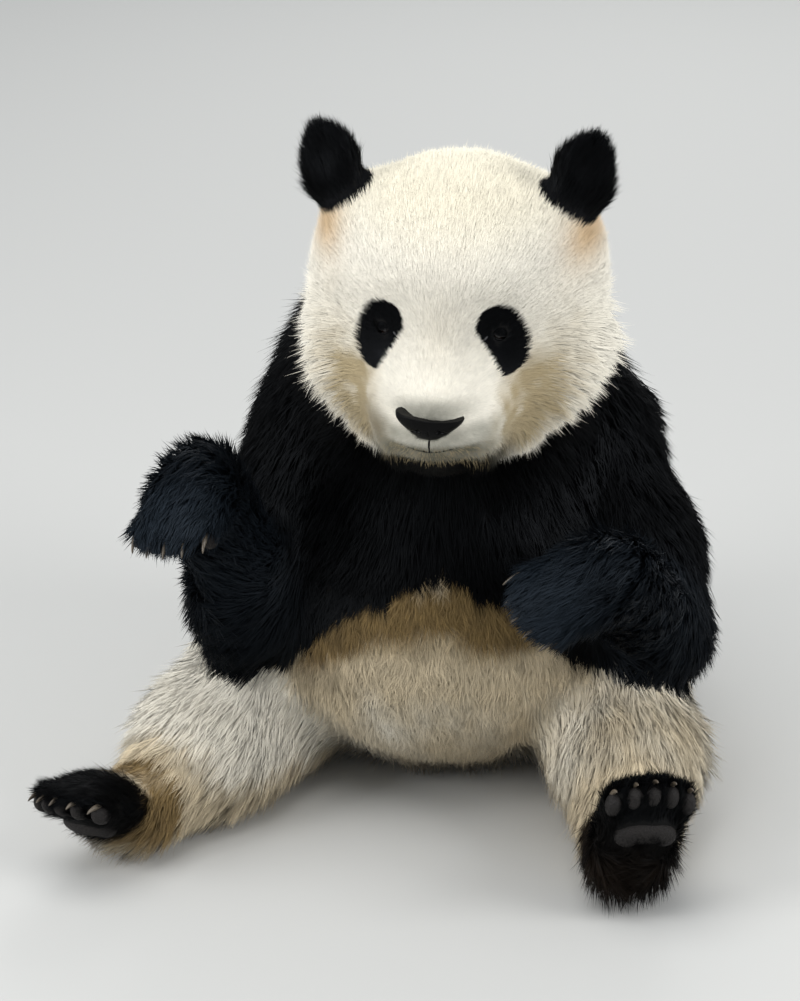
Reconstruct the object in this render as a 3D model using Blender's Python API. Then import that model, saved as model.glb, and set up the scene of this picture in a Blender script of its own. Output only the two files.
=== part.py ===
"""A giant panda sitting on its rump, as a still, life-size museum model.

Metres, +Z up. The face looks along -Y, and the panda's own left side is +X. Every solid is drawn
out to the tips of the coat. The flesh is built as clay: lumps of fat and muscle, given by named
places and half sizes, are melted together into a smooth form, and the surface of that form is
meshed. The torso is one such form, cut into head, neck and trunk by thin discs. Each limb is a
form of its own, fitted against what it grows from, and cut at its joints.
"""

import math

import bmesh
import bpy
import numpy as np
from mathutils import Euler, Matrix, Vector

# ---------------------------------------------------------------- driving sizes

GAP = 0.0004  # clearance between neighbouring solids
CUT = 0.0006  # width of the thin cuts between the flesh's parts
FINENESS = 0.02  # how much denser the head's mesh stays than the trunk's
SIDES = {"right": -1, "left": 1}  # the panda's own sides, as signs of X

HEAD_AT = Vector((0.006, -0.150, 0.543))
HEAD_TILT = (3.0, 0.0, -9.0)  # degrees: nose down, lean, turn
EYE_RADIUS = 0.0110
EYE_PLACE = (0.0555, 0.0160)  # across and up from the middle of the head
NOSE_PLACE = (0.0, -0.046)
NOSE_SIZE = (0.0325, 0.018, 0.0165)

SHOULDER = {"right": Vector((-0.122, 0.015, 0.350)), "left": Vector((0.136, 0.010, 0.350))}
ELBOW = {"right": Vector((-0.196, -0.113, 0.214)), "left": Vector((0.202, -0.118, 0.190))}
WRIST = {"right": Vector((-0.240, -0.180, 0.368)), "left": Vector((0.160, -0.255, 0.306))}
FINGERS = {"right": Vector((-0.272, -0.264, 0.350)), "left": Vector((0.062, -0.300, 0.281))}
HAND_BACK = {"right": Vector((-0.25, -0.20, 0.95)), "left": Vector((-0.10, -0.75, 0.65))}
HAND_SIZE = (0.106, 0.112)  # width and length of a forepaw

HIP = {"right": Vector((-0.120, 0.045, 0.112)), "left": Vector((0.122, 0.045, 0.112))}
KNEE = {"right": Vector((-0.242, -0.136, 0.067)), "left": Vector((0.178, -0.185, 0.082))}
ANKLE = {"right": Vector((-0.312, -0.248, 0.046)), "left": Vector((0.170, -0.350, 0.046))}
TOES = {"right": Vector((-0.360, -0.308, 0.090)), "left": Vector((0.188, -0.398, 0.150))}
FOOT_BACK = {"right": Vector((0.30, 0.55, 0.78)), "left": Vector((-0.10, 0.75, 0.65))}
FOOT_SIZE = (0.104, 0.135)  # width and length of a hind foot

CLAW_LENGTH = 0.022
CLAW_RADIUS = 0.0042

# The cuts through the flesh of the torso: a point on each, and the way out of it.
NAPE_CUT = (Vector((0, -0.060, 0.485)), Vector((0, -0.55, 0.835)))
COLLAR_CUT = (Vector((0, 0.040, 0.375)), Vector((0, -0.35, 0.94)))


# ---------------------------------------------------------------- clay

def carried(points, matrix):
    """Points moved by a 4 x 4 matrix."""
    m = np.array(matrix)
    return points @ m[:3, :3].T + m[:3, 3]


def turned(degrees):
    return Euler([math.radians(a) for a in degrees]).to_matrix().to_4x4()


class Ball:
    """An ellipsoid lump: its centre, its half sizes and its turn in degrees."""

    def __init__(self, at, size, turn=(0, 0, 0)):
        self.place = Matrix.Translation(at) @ turned(turn)
        self.inverse = self.place.inverted()
        self.size = np.array(size, float)

    def distance(self, points):
        local = carried(points, self.inverse) / self.size
        reach = np.linalg.norm(local, axis=1) + 1e-9
        slope = np.linalg.norm(local / self.size, axis=1) + 1e-9
        return reach * (reach - 1) / slope

    def add_to(self, bm, frame):
        stretch = Matrix.Diagonal((*self.size, 1))
        bmesh.ops.create_icosphere(bm, subdivisions=3, radius=1, matrix=frame @ self.place @ stretch)


class Bone:
    """A tapered lump with round ends: its two ends and the radius at each."""

    def __init__(self, start, end, start_radius, end_radius):
        self.ends = (Vector(start), Vector(end))
        self.radii = (start_radius, end_radius)

    def distance(self, points):
        start, along = np.array(self.ends[0]), np.array(self.ends[1] - self.ends[0])
        share = np.clip((points - start) @ along / (along @ along), 0, 1)
        radius = self.radii[0] + share * (self.radii[1] - self.radii[0])
        return np.linalg.norm(points - start - share[:, None] * along, axis=1) - radius

    def add_to(self, bm, frame):
        for share in np.linspace(0, 1, 9):
            at = frame @ Matrix.Translation(self.ends[0].lerp(self.ends[1], share))
            radius = self.radii[0] + share * (self.radii[1] - self.radii[0])
            bmesh.ops.create_icosphere(bm, subdivisions=3, radius=radius, matrix=at)


class Form:
    """Lumps melted together, and hollows pressed into them, in the frame of a 4 x 4 matrix."""

    def __init__(self, frame=None):
        self.frame = frame or Matrix()
        self.lumps = []
        self.hollows = []

    def add(self, lump, melt):
        self.lumps.append((lump, melt))
        return self

    def press(self, lump, melt):
        self.hollows.append((lump, melt))
        return self

    def distance(self, points):
        """Below zero inside the form, and about the distance from it outside."""
        local = carried(points, self.frame.inverted())
        total = None
        for lump, melt in self.lumps:
            here = lump.distance(local)
            total = here if total is None else melted(total, here, melt)
        for lump, melt in self.hollows:
            total = -melted(-total, lump.distance(local), melt)
        return total

    def add_to(self, bm):
        for lump, _ in self.lumps:
            lump.add_to(bm, self.frame)


class Joined:
    """Several forms melted into one."""

    def __init__(self, forms, melt):
        self.forms, self.melt = forms, melt

    def distance(self, points):
        total = self.forms[0].distance(points)
        for form in self.forms[1:]:
            total = melted(total, form.distance(points), self.melt)
        return total

    def add_to(self, bm):
        for form in self.forms:
            form.add_to(bm)


def melted(a, b, melt):
    """The smooth minimum of two distances: melt is how far from the crease the two run together."""
    share = np.clip(0.5 + 0.5 * (b - a) / melt, 0, 1)
    return b + share * (a - b) - melt * share * (1 - share)


# ---------------------------------------------------------------- meshing

def linked(name, mesh):
    obj = bpy.data.objects.new(name, mesh)
    bpy.context.scene.collection.objects.link(obj)
    return obj


def object_from(name, bm):
    mesh = bpy.data.meshes.new(name)
    bm.to_mesh(mesh)
    bm.free()
    return linked(name, mesh)


def with_modifier(obj, kind, **settings):
    """Adds a modifier and applies it at once."""
    modifier = obj.modifiers.new(kind.title(), kind)
    for key, value in settings.items():
        setattr(modifier, key, value)
    bpy.context.view_layer.update()
    made = bpy.data.meshes.new_from_object(obj.evaluated_get(bpy.context.evaluated_depsgraph_get()))
    obj.modifiers.remove(modifier)
    old, obj.data = obj.data, made
    bpy.data.meshes.remove(old)
    return obj


def corners_of(mesh):
    found = np.empty(len(mesh.vertices) * 3, np.float32)
    mesh.vertices.foreach_get("co", found)
    return found.reshape(-1, 3).astype(float)


def settle(mesh, form, steps=5, reach=0.0005):
    """Slides every vertex along the form's slope until it lies on its surface."""
    points = corners_of(mesh)
    for _ in range(steps):
        here = form.distance(points)
        slope = np.stack(
            [(form.distance(points + reach * axis) - here) / reach for axis in np.eye(3)], axis=1
        )
        steep = np.maximum((slope ** 2).sum(1), 0.05)
        points -= (np.clip(here, -0.02, 0.02) / steep)[:, None] * slope
    mesh.vertices.foreach_set("co", points.astype(np.float32).ravel())
    mesh.update()


def modelled(name, form, voxel, triangles, fine=None):
    """A closed mesh of the form: its lumps remeshed as one, settled on its surface, then thinned.

    The thinning leaves the mesh denser within fine, a ball given by its centre and radius.
    """
    bm = bmesh.new()
    form.add_to(bm)
    obj = object_from(name, bm)
    with_modifier(obj, "REMESH", mode="VOXEL", voxel_size=voxel)
    settle(obj.data, form)
    with_modifier(obj, "SMOOTH", factor=0.5, iterations=4)
    settle(obj.data, form)
    obj.data.update()
    now = sum(len(p.vertices) - 2 for p in obj.data.polygons)
    settings = {"ratio": min(1.0, triangles / now)}
    if fine is not None:
        group = obj.vertex_groups.new(name="coarse")
        near = np.linalg.norm(corners_of(obj.data) - np.array(fine[0]), axis=1) < fine[1]
        for coarse, where in ((0.5, near), (1.0, ~near)):
            group.add([int(i) for i in np.flatnonzero(where)], coarse, "REPLACE")
        settings |= {"vertex_group": group.name, "vertex_group_factor": FINENESS}
    with_modifier(obj, "DECIMATE", **settings)
    obj.vertex_groups.clear()
    return obj


def flattened(obj):
    """Cuts off what hangs below the floor, and closes the cut with one flat."""
    bm = bmesh.new()
    bm.from_mesh(obj.data)
    everything = bm.verts[:] + bm.edges[:] + bm.faces[:]
    bmesh.ops.bisect_plane(bm, geom=everything, plane_no=(0, 0, -1), clear_outer=True, dist=1e-5)
    open_edges = [e for e in bm.edges if e.is_boundary]
    bmesh.ops.holes_fill(bm, edges=open_edges, sides=0)
    bmesh.ops.triangulate(bm, faces=bm.faces[:])
    bm.to_mesh(obj.data)
    bm.free()
    return obj


def cut_by(obj, cutter, operation="DIFFERENCE"):
    return with_modifier(obj, "BOOLEAN", operation=operation, object=cutter, solver="EXACT")


def dropped(obj):
    bpy.data.objects.remove(obj)


def swollen(obj, by=GAP):
    """A copy grown by a hair, so that what it cuts keeps a gap to it."""
    copy = linked(obj.name + "_swollen", obj.data.copy())
    bm = bmesh.new()
    bm.from_mesh(copy.data)
    bm.normal_update()
    moves = [(v, v.normal * by) for v in bm.verts]
    for vertex, move in moves:
        vertex.co += move
    bm.to_mesh(copy.data)
    bm.free()
    return copy


def fitted(obj, *neighbours):
    """Takes from obj what its neighbours already fill."""
    for neighbour in neighbours:
        cutter = swollen(neighbour)
        cut_by(obj, cutter)
        dropped(cutter)
    return obj


def disc(at, along, radius, width=CUT):
    """A thin round cutter across a limb."""
    bm = bmesh.new()
    place = Matrix.Translation(at) @ Vector(along).to_track_quat("Z", "Y").to_matrix().to_4x4()
    bmesh.ops.create_cone(
        bm, cap_ends=True, segments=32, radius1=radius, radius2=radius, depth=width, matrix=place
    )
    return object_from("cut", bm)


def islands(bm):
    """The vertices of each separate body, as sets of indices."""
    found = []
    left = set(bm.verts)
    while left:
        island, edge = set(), [left.pop()]
        while edge:
            vertex = edge.pop()
            island.add(vertex.index)
            for other in (e.other_vert(vertex) for e in vertex.link_edges):
                if other in left:
                    left.remove(other)
                    edge.append(other)
        found.append(island)
    return found


def parted(obj, cuts, markers):
    """Cuts obj by discs. The largest body nearest to each marker becomes the object of its name."""
    for at, along, radius in cuts:
        cutter = disc(at, along, radius)
        cut_by(obj, cutter)
        dropped(cutter)
    bm = bmesh.new()
    bm.from_mesh(obj.data)
    dropped(obj)
    best = {}
    for island in islands(bm):
        bm.verts.ensure_lookup_table()
        centre = sum((bm.verts[i].co for i in island), Vector()) / len(island)
        name = min(markers, key=lambda m: (markers[m] - centre).length)
        if len(island) > len(best.get(name, ())):
            best[name] = island
    made = {}
    for name, island in best.items():
        copy = bm.copy()
        copy.verts.ensure_lookup_table()
        bmesh.ops.delete(copy, geom=[v for v in copy.verts if v.index not in island], context="VERTS")
        made[name] = object_from(name, copy)
    bm.free()
    return made


# ---------------------------------------------------------------- the torso, neck and head

HEAD_FRAME = Matrix.Translation(HEAD_AT) @ turned(HEAD_TILT)


def head_form():
    """The head in its own frame: -Y out of the nose, +Z out of the crown."""
    form = Form(HEAD_FRAME)
    form.add(Ball((0, 0.022, 0.026), (0.136, 0.130, 0.120)), 0.01)
    form.add(Ball((0, -0.050, 0.045), (0.085, 0.075, 0.066)), 0.05)
    for side in SIDES.values():
        form.add(Ball((side * 0.088 - 0.002, 0.030, 0.040), (0.057, 0.075, 0.078)), 0.02)
        form.add(Ball((side * 0.072, -0.010, -0.038), (0.076, 0.092, 0.070)), 0.05)
        form.add(Ball((side * 0.052, -0.040, -0.066), (0.062, 0.070, 0.052)), 0.04)
        form.add(Ball((side * 0.112, 0.042, -0.042), (0.044, 0.044, 0.038)), 0.03)
    form.add(Ball((0, -0.105, -0.030), (0.048, 0.070, 0.042), (14, 0, 0)), 0.05)
    form.add(Ball((0, -0.118, -0.052), (0.068, 0.054, 0.042)), 0.02)
    form.add(Ball((0, -0.140, -0.062), (0.057, 0.052, 0.038)), 0.02)
    form.add(Ball((0, -0.108, -0.091), (0.050, 0.055, 0.032)), 0.035)
    for side in SIDES.values():
        form.press(Ball((side * 0.058, -0.158, 0.014), (0.026, 0.036, 0.036)), 0.03)
    return form


def trunk_form():
    form = Form()
    form.add(Ball((0, 0.085, 0.165), (0.258, 0.220, 0.177)), 0.01)
    form.add(Ball((0, -0.020, 0.205), (0.208, 0.208, 0.172)), 0.10)
    form.add(Ball((0, 0.070, 0.345), (0.190, 0.178, 0.165)), 0.10)
    form.add(Bone((0, 0.070, 0.400), (0.004, -0.070, 0.488), 0.150, 0.138), 0.08)
    return form


def ear_form(side):
    at = Matrix.Translation((side * 0.124 - 0.003, 0.014, 0.138))
    form = Form(HEAD_FRAME @ at @ turned((-6, side * 24, side * 12)))
    form.add(Ball((side * -0.003, 0, -0.004), (0.031, 0.019, 0.039)), 0.01)
    form.add(Ball((side * 0.006, 0.004, -0.028), (0.029, 0.018, 0.032)), 0.02)
    form.press(Ball((0, -0.026, 0.000), (0.021, 0.016, 0.026)), 0.012)
    return form


def front_of(form, place):
    """The point, in the head's own frame, where the form's surface lies straight in from the front."""
    x, z = place
    depths = np.linspace(-0.30, 0, 601)
    line = np.stack([np.full(601, x), depths, np.full(601, z)], axis=1)
    inside = form.distance(carried(line, form.frame)) < 0
    return Vector((x, depths[np.argmax(inside)], z))


def eye_centre(form, side):
    """An eyeball's centre: its front stands a little out of the coat's surface."""
    surface = front_of(form, (side * EYE_PLACE[0], EYE_PLACE[1]))
    return surface + Vector((-side * 0.30, 1, -0.10)).normalized() * EYE_RADIUS * 0.80


def round_lump(name, place, size, detail):
    bm = bmesh.new()
    stretch = Matrix.Diagonal((*size, 1))
    bmesh.ops.create_icosphere(bm, subdivisions=detail, radius=1, matrix=place @ stretch)
    return object_from(name, bm)


# ---------------------------------------------------------------- limbs

def frame_along(at, forward, back):
    """A paw's frame: +Y runs to the toes and +Z out of its back."""
    y = (forward - at).normalized()
    x = y.cross(back).normalized()
    z = x.cross(y)
    return Matrix.Translation(at) @ Matrix((x, y, z)).transposed().to_4x4()


def toe_places(width, length):
    """The centres of the five toes, in the paw's frame: they lie on a shallow arc."""
    shares = [(toe - 2) / 2 for toe in range(5)]
    return [Vector((s * width * 0.36, length * (0.80 - 0.10 * s * s), -width * 0.05)) for s in shares]


def paw_form(frame, width, length):
    """A paw: a round palm with its pad, and five short toes."""
    form = Form(frame)
    form.add(Ball((0, length * 0.38, 0), (width * 0.46, length * 0.46, width * 0.34)), 0.01)
    form.add(Ball((0, length * 0.52, -width * 0.24), (width * 0.34, length * 0.16, width * 0.12)), 0.012)
    for place in toe_places(width, length):
        form.add(Ball(place, (width * 0.135, length * 0.18, width * 0.17)), 0.014)
    return form


def arm_form(side):
    form = Form()
    form.add(Bone(SHOULDER[side], ELBOW[side], 0.084, 0.062), 0.02)
    if side == "left":
        hanging = SHOULDER[side].lerp(ELBOW[side], 0.62)
        form.add(Ball(hanging, (0.083, 0.083, 0.083)), 0.03)
    form.add(Bone(ELBOW[side], WRIST[side], 0.061, 0.046), 0.03)
    return form


def leg_form(side):
    form = Form()
    form.add(Bone(HIP[side], KNEE[side], 0.122, 0.080), 0.02)
    form.add(Bone(KNEE[side], ANKLE[side], 0.076, 0.049), 0.04)
    return form


def tail_form():
    form = Form()
    form.add(Bone((0, 0.255, 0.140), (0, 0.308, 0.050), 0.050, 0.040), 0.02)
    return form


def claw(name, frame, toe, length):
    """A horn claw: five-sided rings on an arc that bends down from the toe's tip."""
    bm = bmesh.new()
    base = toe + Vector((0, length * 0.055, 0.001))
    bend = CLAW_LENGTH * 1.1
    rings = []
    for step in range(3):
        share = step / 3
        turn = share * 1.15
        centre = base + Vector((0, bend * math.sin(turn), bend * (math.cos(turn) - 1)))
        out = Vector((0, math.sin(turn), math.cos(turn)))
        radius = CLAW_RADIUS * (1 - share ** 1.6)
        ring = []
        for corner in range(5):
            angle = math.tau * corner / 5
            spot = centre + out * radius * math.cos(angle) + Vector((radius * 0.8 * math.sin(angle), 0, 0))
            ring.append(bm.verts.new(frame @ spot))
        rings.append(ring)
    tip = bm.verts.new(frame @ (base + Vector((0, bend * math.sin(1.15), bend * (math.cos(1.15) - 1)))))
    for lower, upper in zip(rings, rings[1:]):
        for k in range(5):
            bm.faces.new((lower[k - 1], lower[k], upper[k], upper[k - 1]))
    for k in range(5):
        bm.faces.new((rings[-1][k - 1], rings[-1][k], tip))
    bm.faces.new(rings[0][::-1])
    bmesh.ops.recalc_face_normals(bm, faces=bm.faces[:])
    return object_from(name, bm)


def clawed(paw, frame, size):
    """Sets five claws in a paw's toes, each in a close-fitting root hole."""
    claws = []
    for number, toe in enumerate(toe_places(*size), 1):
        made = claw(f"claw_{paw.name}_{number}", frame, toe, size[1])
        fitted(paw, made)
        claws.append(made)
    return claws


# ---------------------------------------------------------------- materials

COATS = {
    "head": (0.86, 0.83, 0.74),
    "neck": (0.78, 0.75, 0.66),
    "trunk": (0.62, 0.57, 0.46),
    "tail": (0.70, 0.66, 0.56),
    "ear": (0.010, 0.010, 0.011),
    "upper_arm": (0.012, 0.012, 0.014),
    "forearm": (0.013, 0.014, 0.017),
    "forepaw": (0.014, 0.016, 0.020),
    "thigh": (0.55, 0.50, 0.40),
    "shank": (0.030, 0.025, 0.020),
    "hindfoot": (0.014, 0.013, 0.012),
}


def painted(obj, colour, roughness):
    """Gives the object a material of its own."""
    material = bpy.data.materials.new(obj.name)
    material.use_nodes = True
    shader = material.node_tree.nodes["Principled BSDF"]
    shader.inputs["Base Color"].default_value = (*colour, 1)
    shader.inputs["Roughness"].default_value = roughness
    material.diffuse_color = (*colour, 1)
    obj.data.materials.clear()
    obj.data.materials.append(material)
    obj.data.shade_smooth()
    obj.data.set_sharp_from_angle(angle=math.radians(50))


def coated(obj):
    kind = next(k for k in sorted(COATS, key=len, reverse=True) if obj.name.startswith(k))
    painted(obj, COATS[kind], 0.9)


# ---------------------------------------------------------------- the whole animal

def bisector(before, at, after):
    return (at - before).normalized() + (after - at).normalized()


def build_head(core_parts, form):
    """Ears, eyes and nose, each fitted to the head."""
    head = core_parts["head"]
    for side, sign in SIDES.items():
        ear = fitted(modelled("ear_" + side, ear_form(sign), 0.004, 180), head, core_parts["neck"])
        coated(ear)
        at = HEAD_FRAME @ Matrix.Translation(eye_centre(form, sign))
        eye = round_lump("eye_" + side, at, [EYE_RADIUS] * 3, 2)
        fitted(head, eye)
        painted(eye, (0.012, 0.009, 0.007), 0.08)
    spot = front_of(form, NOSE_PLACE) + Vector((0, NOSE_SIZE[1] * 0.45, 0))
    nose = round_lump("nose", HEAD_FRAME @ Matrix.Translation(spot), NOSE_SIZE, 2)
    fitted(head, nose)
    painted(nose, (0.008, 0.008, 0.009), 0.3)


def build_arm(side, neighbours):
    hand_frame = frame_along(WRIST[side], FINGERS[side], HAND_BACK[side])
    form = Joined([arm_form(side), paw_form(hand_frame, *HAND_SIZE)], 0.03)
    arm = fitted(modelled("arm", form, 0.005, 600), *neighbours)
    cuts = [
        (ELBOW[side], bisector(SHOULDER[side], ELBOW[side], WRIST[side]), 0.130),
        (WRIST[side], bisector(ELBOW[side], WRIST[side], FINGERS[side]), 0.110),
    ]
    markers = {
        "upper_arm_" + side: SHOULDER[side].lerp(ELBOW[side], 0.6),
        "forearm_" + side: ELBOW[side].lerp(WRIST[side], 0.5),
        "forepaw_" + side: WRIST[side].lerp(FINGERS[side], 0.6),
    }
    pieces = parted(arm, cuts, markers)
    clawed(pieces["forepaw_" + side], hand_frame, HAND_SIZE)
    return pieces


def build_leg(side, neighbours):
    foot_frame = frame_along(ANKLE[side], TOES[side], FOOT_BACK[side])
    form = Joined([leg_form(side), paw_form(foot_frame, *FOOT_SIZE)], 0.03)
    leg = flattened(modelled("leg", form, 0.006, 520))
    fitted(leg, *neighbours)
    whole = linked("leg_whole", leg.data.copy())
    cuts = [
        (KNEE[side], bisector(HIP[side], KNEE[side], ANKLE[side]), 0.130),
        (ANKLE[side], bisector(KNEE[side], ANKLE[side], TOES[side]), 0.090),
    ]
    markers = {
        "thigh_" + side: HIP[side].lerp(KNEE[side], 0.6),
        "shank_" + side: KNEE[side].lerp(ANKLE[side], 0.5),
        "hindfoot_" + side: ANKLE[side].lerp(TOES[side], 0.6),
    }
    pieces = parted(leg, cuts, markers)
    clawed(pieces["hindfoot_" + side], foot_frame, FOOT_SIZE)
    return pieces, whole


def main():
    for obj in list(bpy.data.objects):
        bpy.data.objects.remove(obj)

    head = head_form()
    core = flattened(modelled("core", Joined([trunk_form(), head], 0.05), 0.006, 2750, (HEAD_AT, 0.185)))
    coated(fitted(flattened(modelled("tail", tail_form(), 0.006, 120)), core))
    for side in SIDES:
        legs, whole_leg = build_leg(side, [core])
        arms = build_arm(side, [core, whole_leg])
        dropped(whole_leg)
        for piece in [*legs.values(), *arms.values()]:
            coated(piece)

    markers = {"head": HEAD_AT, "neck": Vector((0, 0, 0.45)), "trunk": Vector((0, 0.05, 0.2))}
    core_parts = parted(core, [(*NAPE_CUT, 0.24), (*COLLAR_CUT, 0.30)], markers)
    build_head(core_parts, head)
    for piece in core_parts.values():
        coated(piece)
    for obj in bpy.data.objects:
        if obj.name.startswith("claw"):
            painted(obj, (0.10, 0.08, 0.06), 0.4)


main()
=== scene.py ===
# %% [markdown]
# # A giant panda, sitting
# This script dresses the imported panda: one skin over its flesh, a coat of solid tufts, eyes with
# their lids, a leather nose, lips, pads and claws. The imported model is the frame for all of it.
# Its solids reach out to the tips of the coat, so everything here is made inside them.

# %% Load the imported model
import math

import bmesh
import bpy
import numpy as np
from mathutils import Euler, Matrix, Vector
from mathutils.bvhtree import BVHTree
from mathutils.kdtree import KDTree


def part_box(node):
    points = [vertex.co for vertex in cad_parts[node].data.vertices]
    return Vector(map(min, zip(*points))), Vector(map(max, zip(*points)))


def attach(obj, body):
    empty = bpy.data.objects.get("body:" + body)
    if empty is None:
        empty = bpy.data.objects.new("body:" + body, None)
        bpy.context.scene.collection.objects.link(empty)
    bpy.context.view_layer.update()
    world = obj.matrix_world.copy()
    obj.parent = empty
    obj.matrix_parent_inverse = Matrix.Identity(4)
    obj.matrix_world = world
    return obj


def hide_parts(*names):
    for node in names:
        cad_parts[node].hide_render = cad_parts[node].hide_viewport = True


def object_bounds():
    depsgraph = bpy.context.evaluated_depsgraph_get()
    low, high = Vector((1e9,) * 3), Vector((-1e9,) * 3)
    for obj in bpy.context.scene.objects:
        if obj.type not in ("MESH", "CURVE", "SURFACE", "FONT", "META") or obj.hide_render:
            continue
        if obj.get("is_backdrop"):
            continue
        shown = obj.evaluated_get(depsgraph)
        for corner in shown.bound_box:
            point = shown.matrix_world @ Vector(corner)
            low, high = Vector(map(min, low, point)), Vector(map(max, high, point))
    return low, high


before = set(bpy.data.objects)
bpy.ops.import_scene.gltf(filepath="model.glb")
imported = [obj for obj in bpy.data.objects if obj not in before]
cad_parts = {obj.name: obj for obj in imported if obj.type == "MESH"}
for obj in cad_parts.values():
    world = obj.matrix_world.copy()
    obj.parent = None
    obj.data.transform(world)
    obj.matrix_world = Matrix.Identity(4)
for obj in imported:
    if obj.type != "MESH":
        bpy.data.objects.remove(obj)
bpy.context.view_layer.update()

# %% [markdown]
# ## Camera
# A camera is an object with a place, a turn and a lens. It could be aimed by a constraint, but a
# still view needs none: the place is worked out from a target, a distance and a pitch, and
# `to_track_quat` turns the lens to it. A long lens from four metres keeps the head from looming.

# %% A new object
def add_object(name, data):
    """Puts a new object that shows the given data into the scene."""
    obj = bpy.data.objects.new(name, data)
    bpy.context.scene.collection.objects.link(obj)
    return obj


# %% The camera
VIEW_TARGET = Vector((-0.05, -0.10, 0.318))
VIEW_PITCH = math.radians(22)
VIEW_DISTANCE = 4.0
VIEW_HEIGHT = 1.001  # metres seen at the target, from the picture's top to its bottom
SENSOR = 36.0

camera_data = bpy.data.cameras.new("camera")
camera_data.sensor_width = SENSOR
camera_data.lens = SENSOR * VIEW_DISTANCE / VIEW_HEIGHT
camera = add_object("camera", camera_data)
towards_camera = Vector((0, -math.cos(VIEW_PITCH), math.sin(VIEW_PITCH)))
camera.location = VIEW_TARGET + towards_camera * VIEW_DISTANCE
camera.rotation_mode = "QUATERNION"
camera.rotation_quaternion = (-towards_camera).to_track_quat("-Z", "Y")
bpy.context.scene.camera = camera
print("lens", round(camera_data.lens, 1), "mm")

# %% [markdown]
# ## Helpers for modelling as by hand
# Operators work on whatever is selected, so every step starts by selecting one object alone. A
# modifier is added, set and applied at once, so that the next step finds plain mesh.

# %% Selecting, and applying modifiers
def select_alone(*objs):
    if bpy.context.object and bpy.context.object.mode != "OBJECT":
        bpy.ops.object.mode_set(mode="OBJECT")
    bpy.ops.object.select_all(action="DESELECT")
    for obj in objs:
        obj.select_set(True)
    bpy.context.view_layer.objects.active = objs[0]


def modify(obj, kind, **settings):
    """Adds a modifier, sets it and applies it."""
    modifier = obj.modifiers.new(kind.title(), kind)
    for key, value in settings.items():
        setattr(modifier, key, value)
    select_alone(obj)
    bpy.ops.object.modifier_apply(modifier=modifier.name)


def corners_in_order(face):
    """The places of a face's corners, sorted."""
    return sorted(tuple(vertex.co) for vertex in face.verts)


def new_sphere(name, segments, rings, **settings):
    """A UV sphere, its faces sorted, as the operator lists them in another order each run."""
    bpy.ops.mesh.primitive_uv_sphere_add(segments=segments, ring_count=rings, **settings)
    ball = bpy.context.object
    ball.name = name
    mesh = bmesh.new()
    mesh.from_mesh(ball.data)
    for number, face in enumerate(sorted(mesh.faces, key=corners_in_order)):
        face.index = number
    mesh.faces.sort()
    mesh.to_mesh(ball.data)
    mesh.free()
    return ball


def stretched_ball(name, at, size, turn=(0, 0, 0), rings=24):
    """A sphere with its own radius along each axis, turned by degrees, its place in its mesh."""
    turn = [math.radians(angle) for angle in turn]
    ball = new_sphere(name, rings * 2, rings, radius=1, location=at, scale=size, rotation=turn)
    bpy.ops.object.transform_apply(location=True, rotation=True, scale=True)
    return ball


def joined(name, parts):
    """Several objects made into one."""
    select_alone(*parts)
    bpy.ops.object.join()
    whole = bpy.context.object
    whole.name = name
    return whole


def cut(obj, *cutters):
    """Takes the cutters' shapes out of the object, and removes the cutters."""
    for cutter in cutters:
        modify(obj, "BOOLEAN", operation="DIFFERENCE", object=cutter, solver="EXACT")
        bpy.data.objects.remove(cutter)


def corners_of(mesh):
    """A mesh's vertices as an array with one row for each."""
    found = np.empty(len(mesh.vertices) * 3, np.float32)
    mesh.vertices.foreach_get("co", found)
    return found.reshape(-1, 3).astype(float)


def carried(points, matrix):
    """Points moved by a 4 x 4 matrix."""
    m = np.array(matrix)
    return points @ m[:3, :3].T + m[:3, 3]


# %% [markdown]
# ## The animal's build
# The lie and the length of a coat follow the animal's build: hair runs from the nose over the
# head, down the back, and along each limb to its toes. The build is named here as balls and
# bones, in metres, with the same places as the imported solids. A point's owners are the parts it
# lies nearest to, in soft shares, so that everything which depends on them changes smoothly.

# %% Places of the head and limbs
HEAD = Matrix.Translation((0.006, -0.150, 0.543)) @ Euler(
    (math.radians(3), 0, math.radians(-9))
).to_matrix().to_4x4()
SIDES = {"right": -1, "left": 1}
LIMBS = {
    "arm_right": [(-0.122, 0.015, 0.350), (-0.196, -0.113, 0.214), (-0.240, -0.180, 0.368),
                  (-0.272, -0.264, 0.350)],
    "arm_left": [(0.136, 0.010, 0.350), (0.202, -0.118, 0.190), (0.160, -0.255, 0.306),
                 (0.062, -0.300, 0.281)],
    "leg_right": [(-0.120, 0.045, 0.112), (-0.242, -0.136, 0.067), (-0.312, -0.248, 0.046),
                  (-0.360, -0.308, 0.090)],
    "leg_left": [(0.122, 0.045, 0.112), (0.178, -0.185, 0.082), (0.170, -0.350, 0.046),
                 (0.188, -0.398, 0.150)],
}
ARMS = ("arm_right", "arm_left")
PAW_BACKS = {
    "arm_right": (-0.25, -0.20, 0.95),
    "arm_left": (-0.10, -0.75, 0.65),
    "leg_right": (0.30, 0.55, 0.78),
    "leg_left": (-0.10, 0.75, 0.65),
}
PAW_SIZES = {"arm": (0.106, 0.112), "leg": (0.104, 0.135)}  # width and length
LIMB_RADII = {"arm": (0.080, 0.062, 0.048), "leg": (0.115, 0.078, 0.050)}
EAR_PLACE = (0.124, 0.014, 0.138)
EAR_LEAN = 0.003  # both ears sit this much to its right, as the scalp is drawn over
EAR_TURN = (-6, 24, 12)  # degrees, mirrored from side to side
EAR_HALF = (0.034, 0.021, 0.042)
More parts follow.
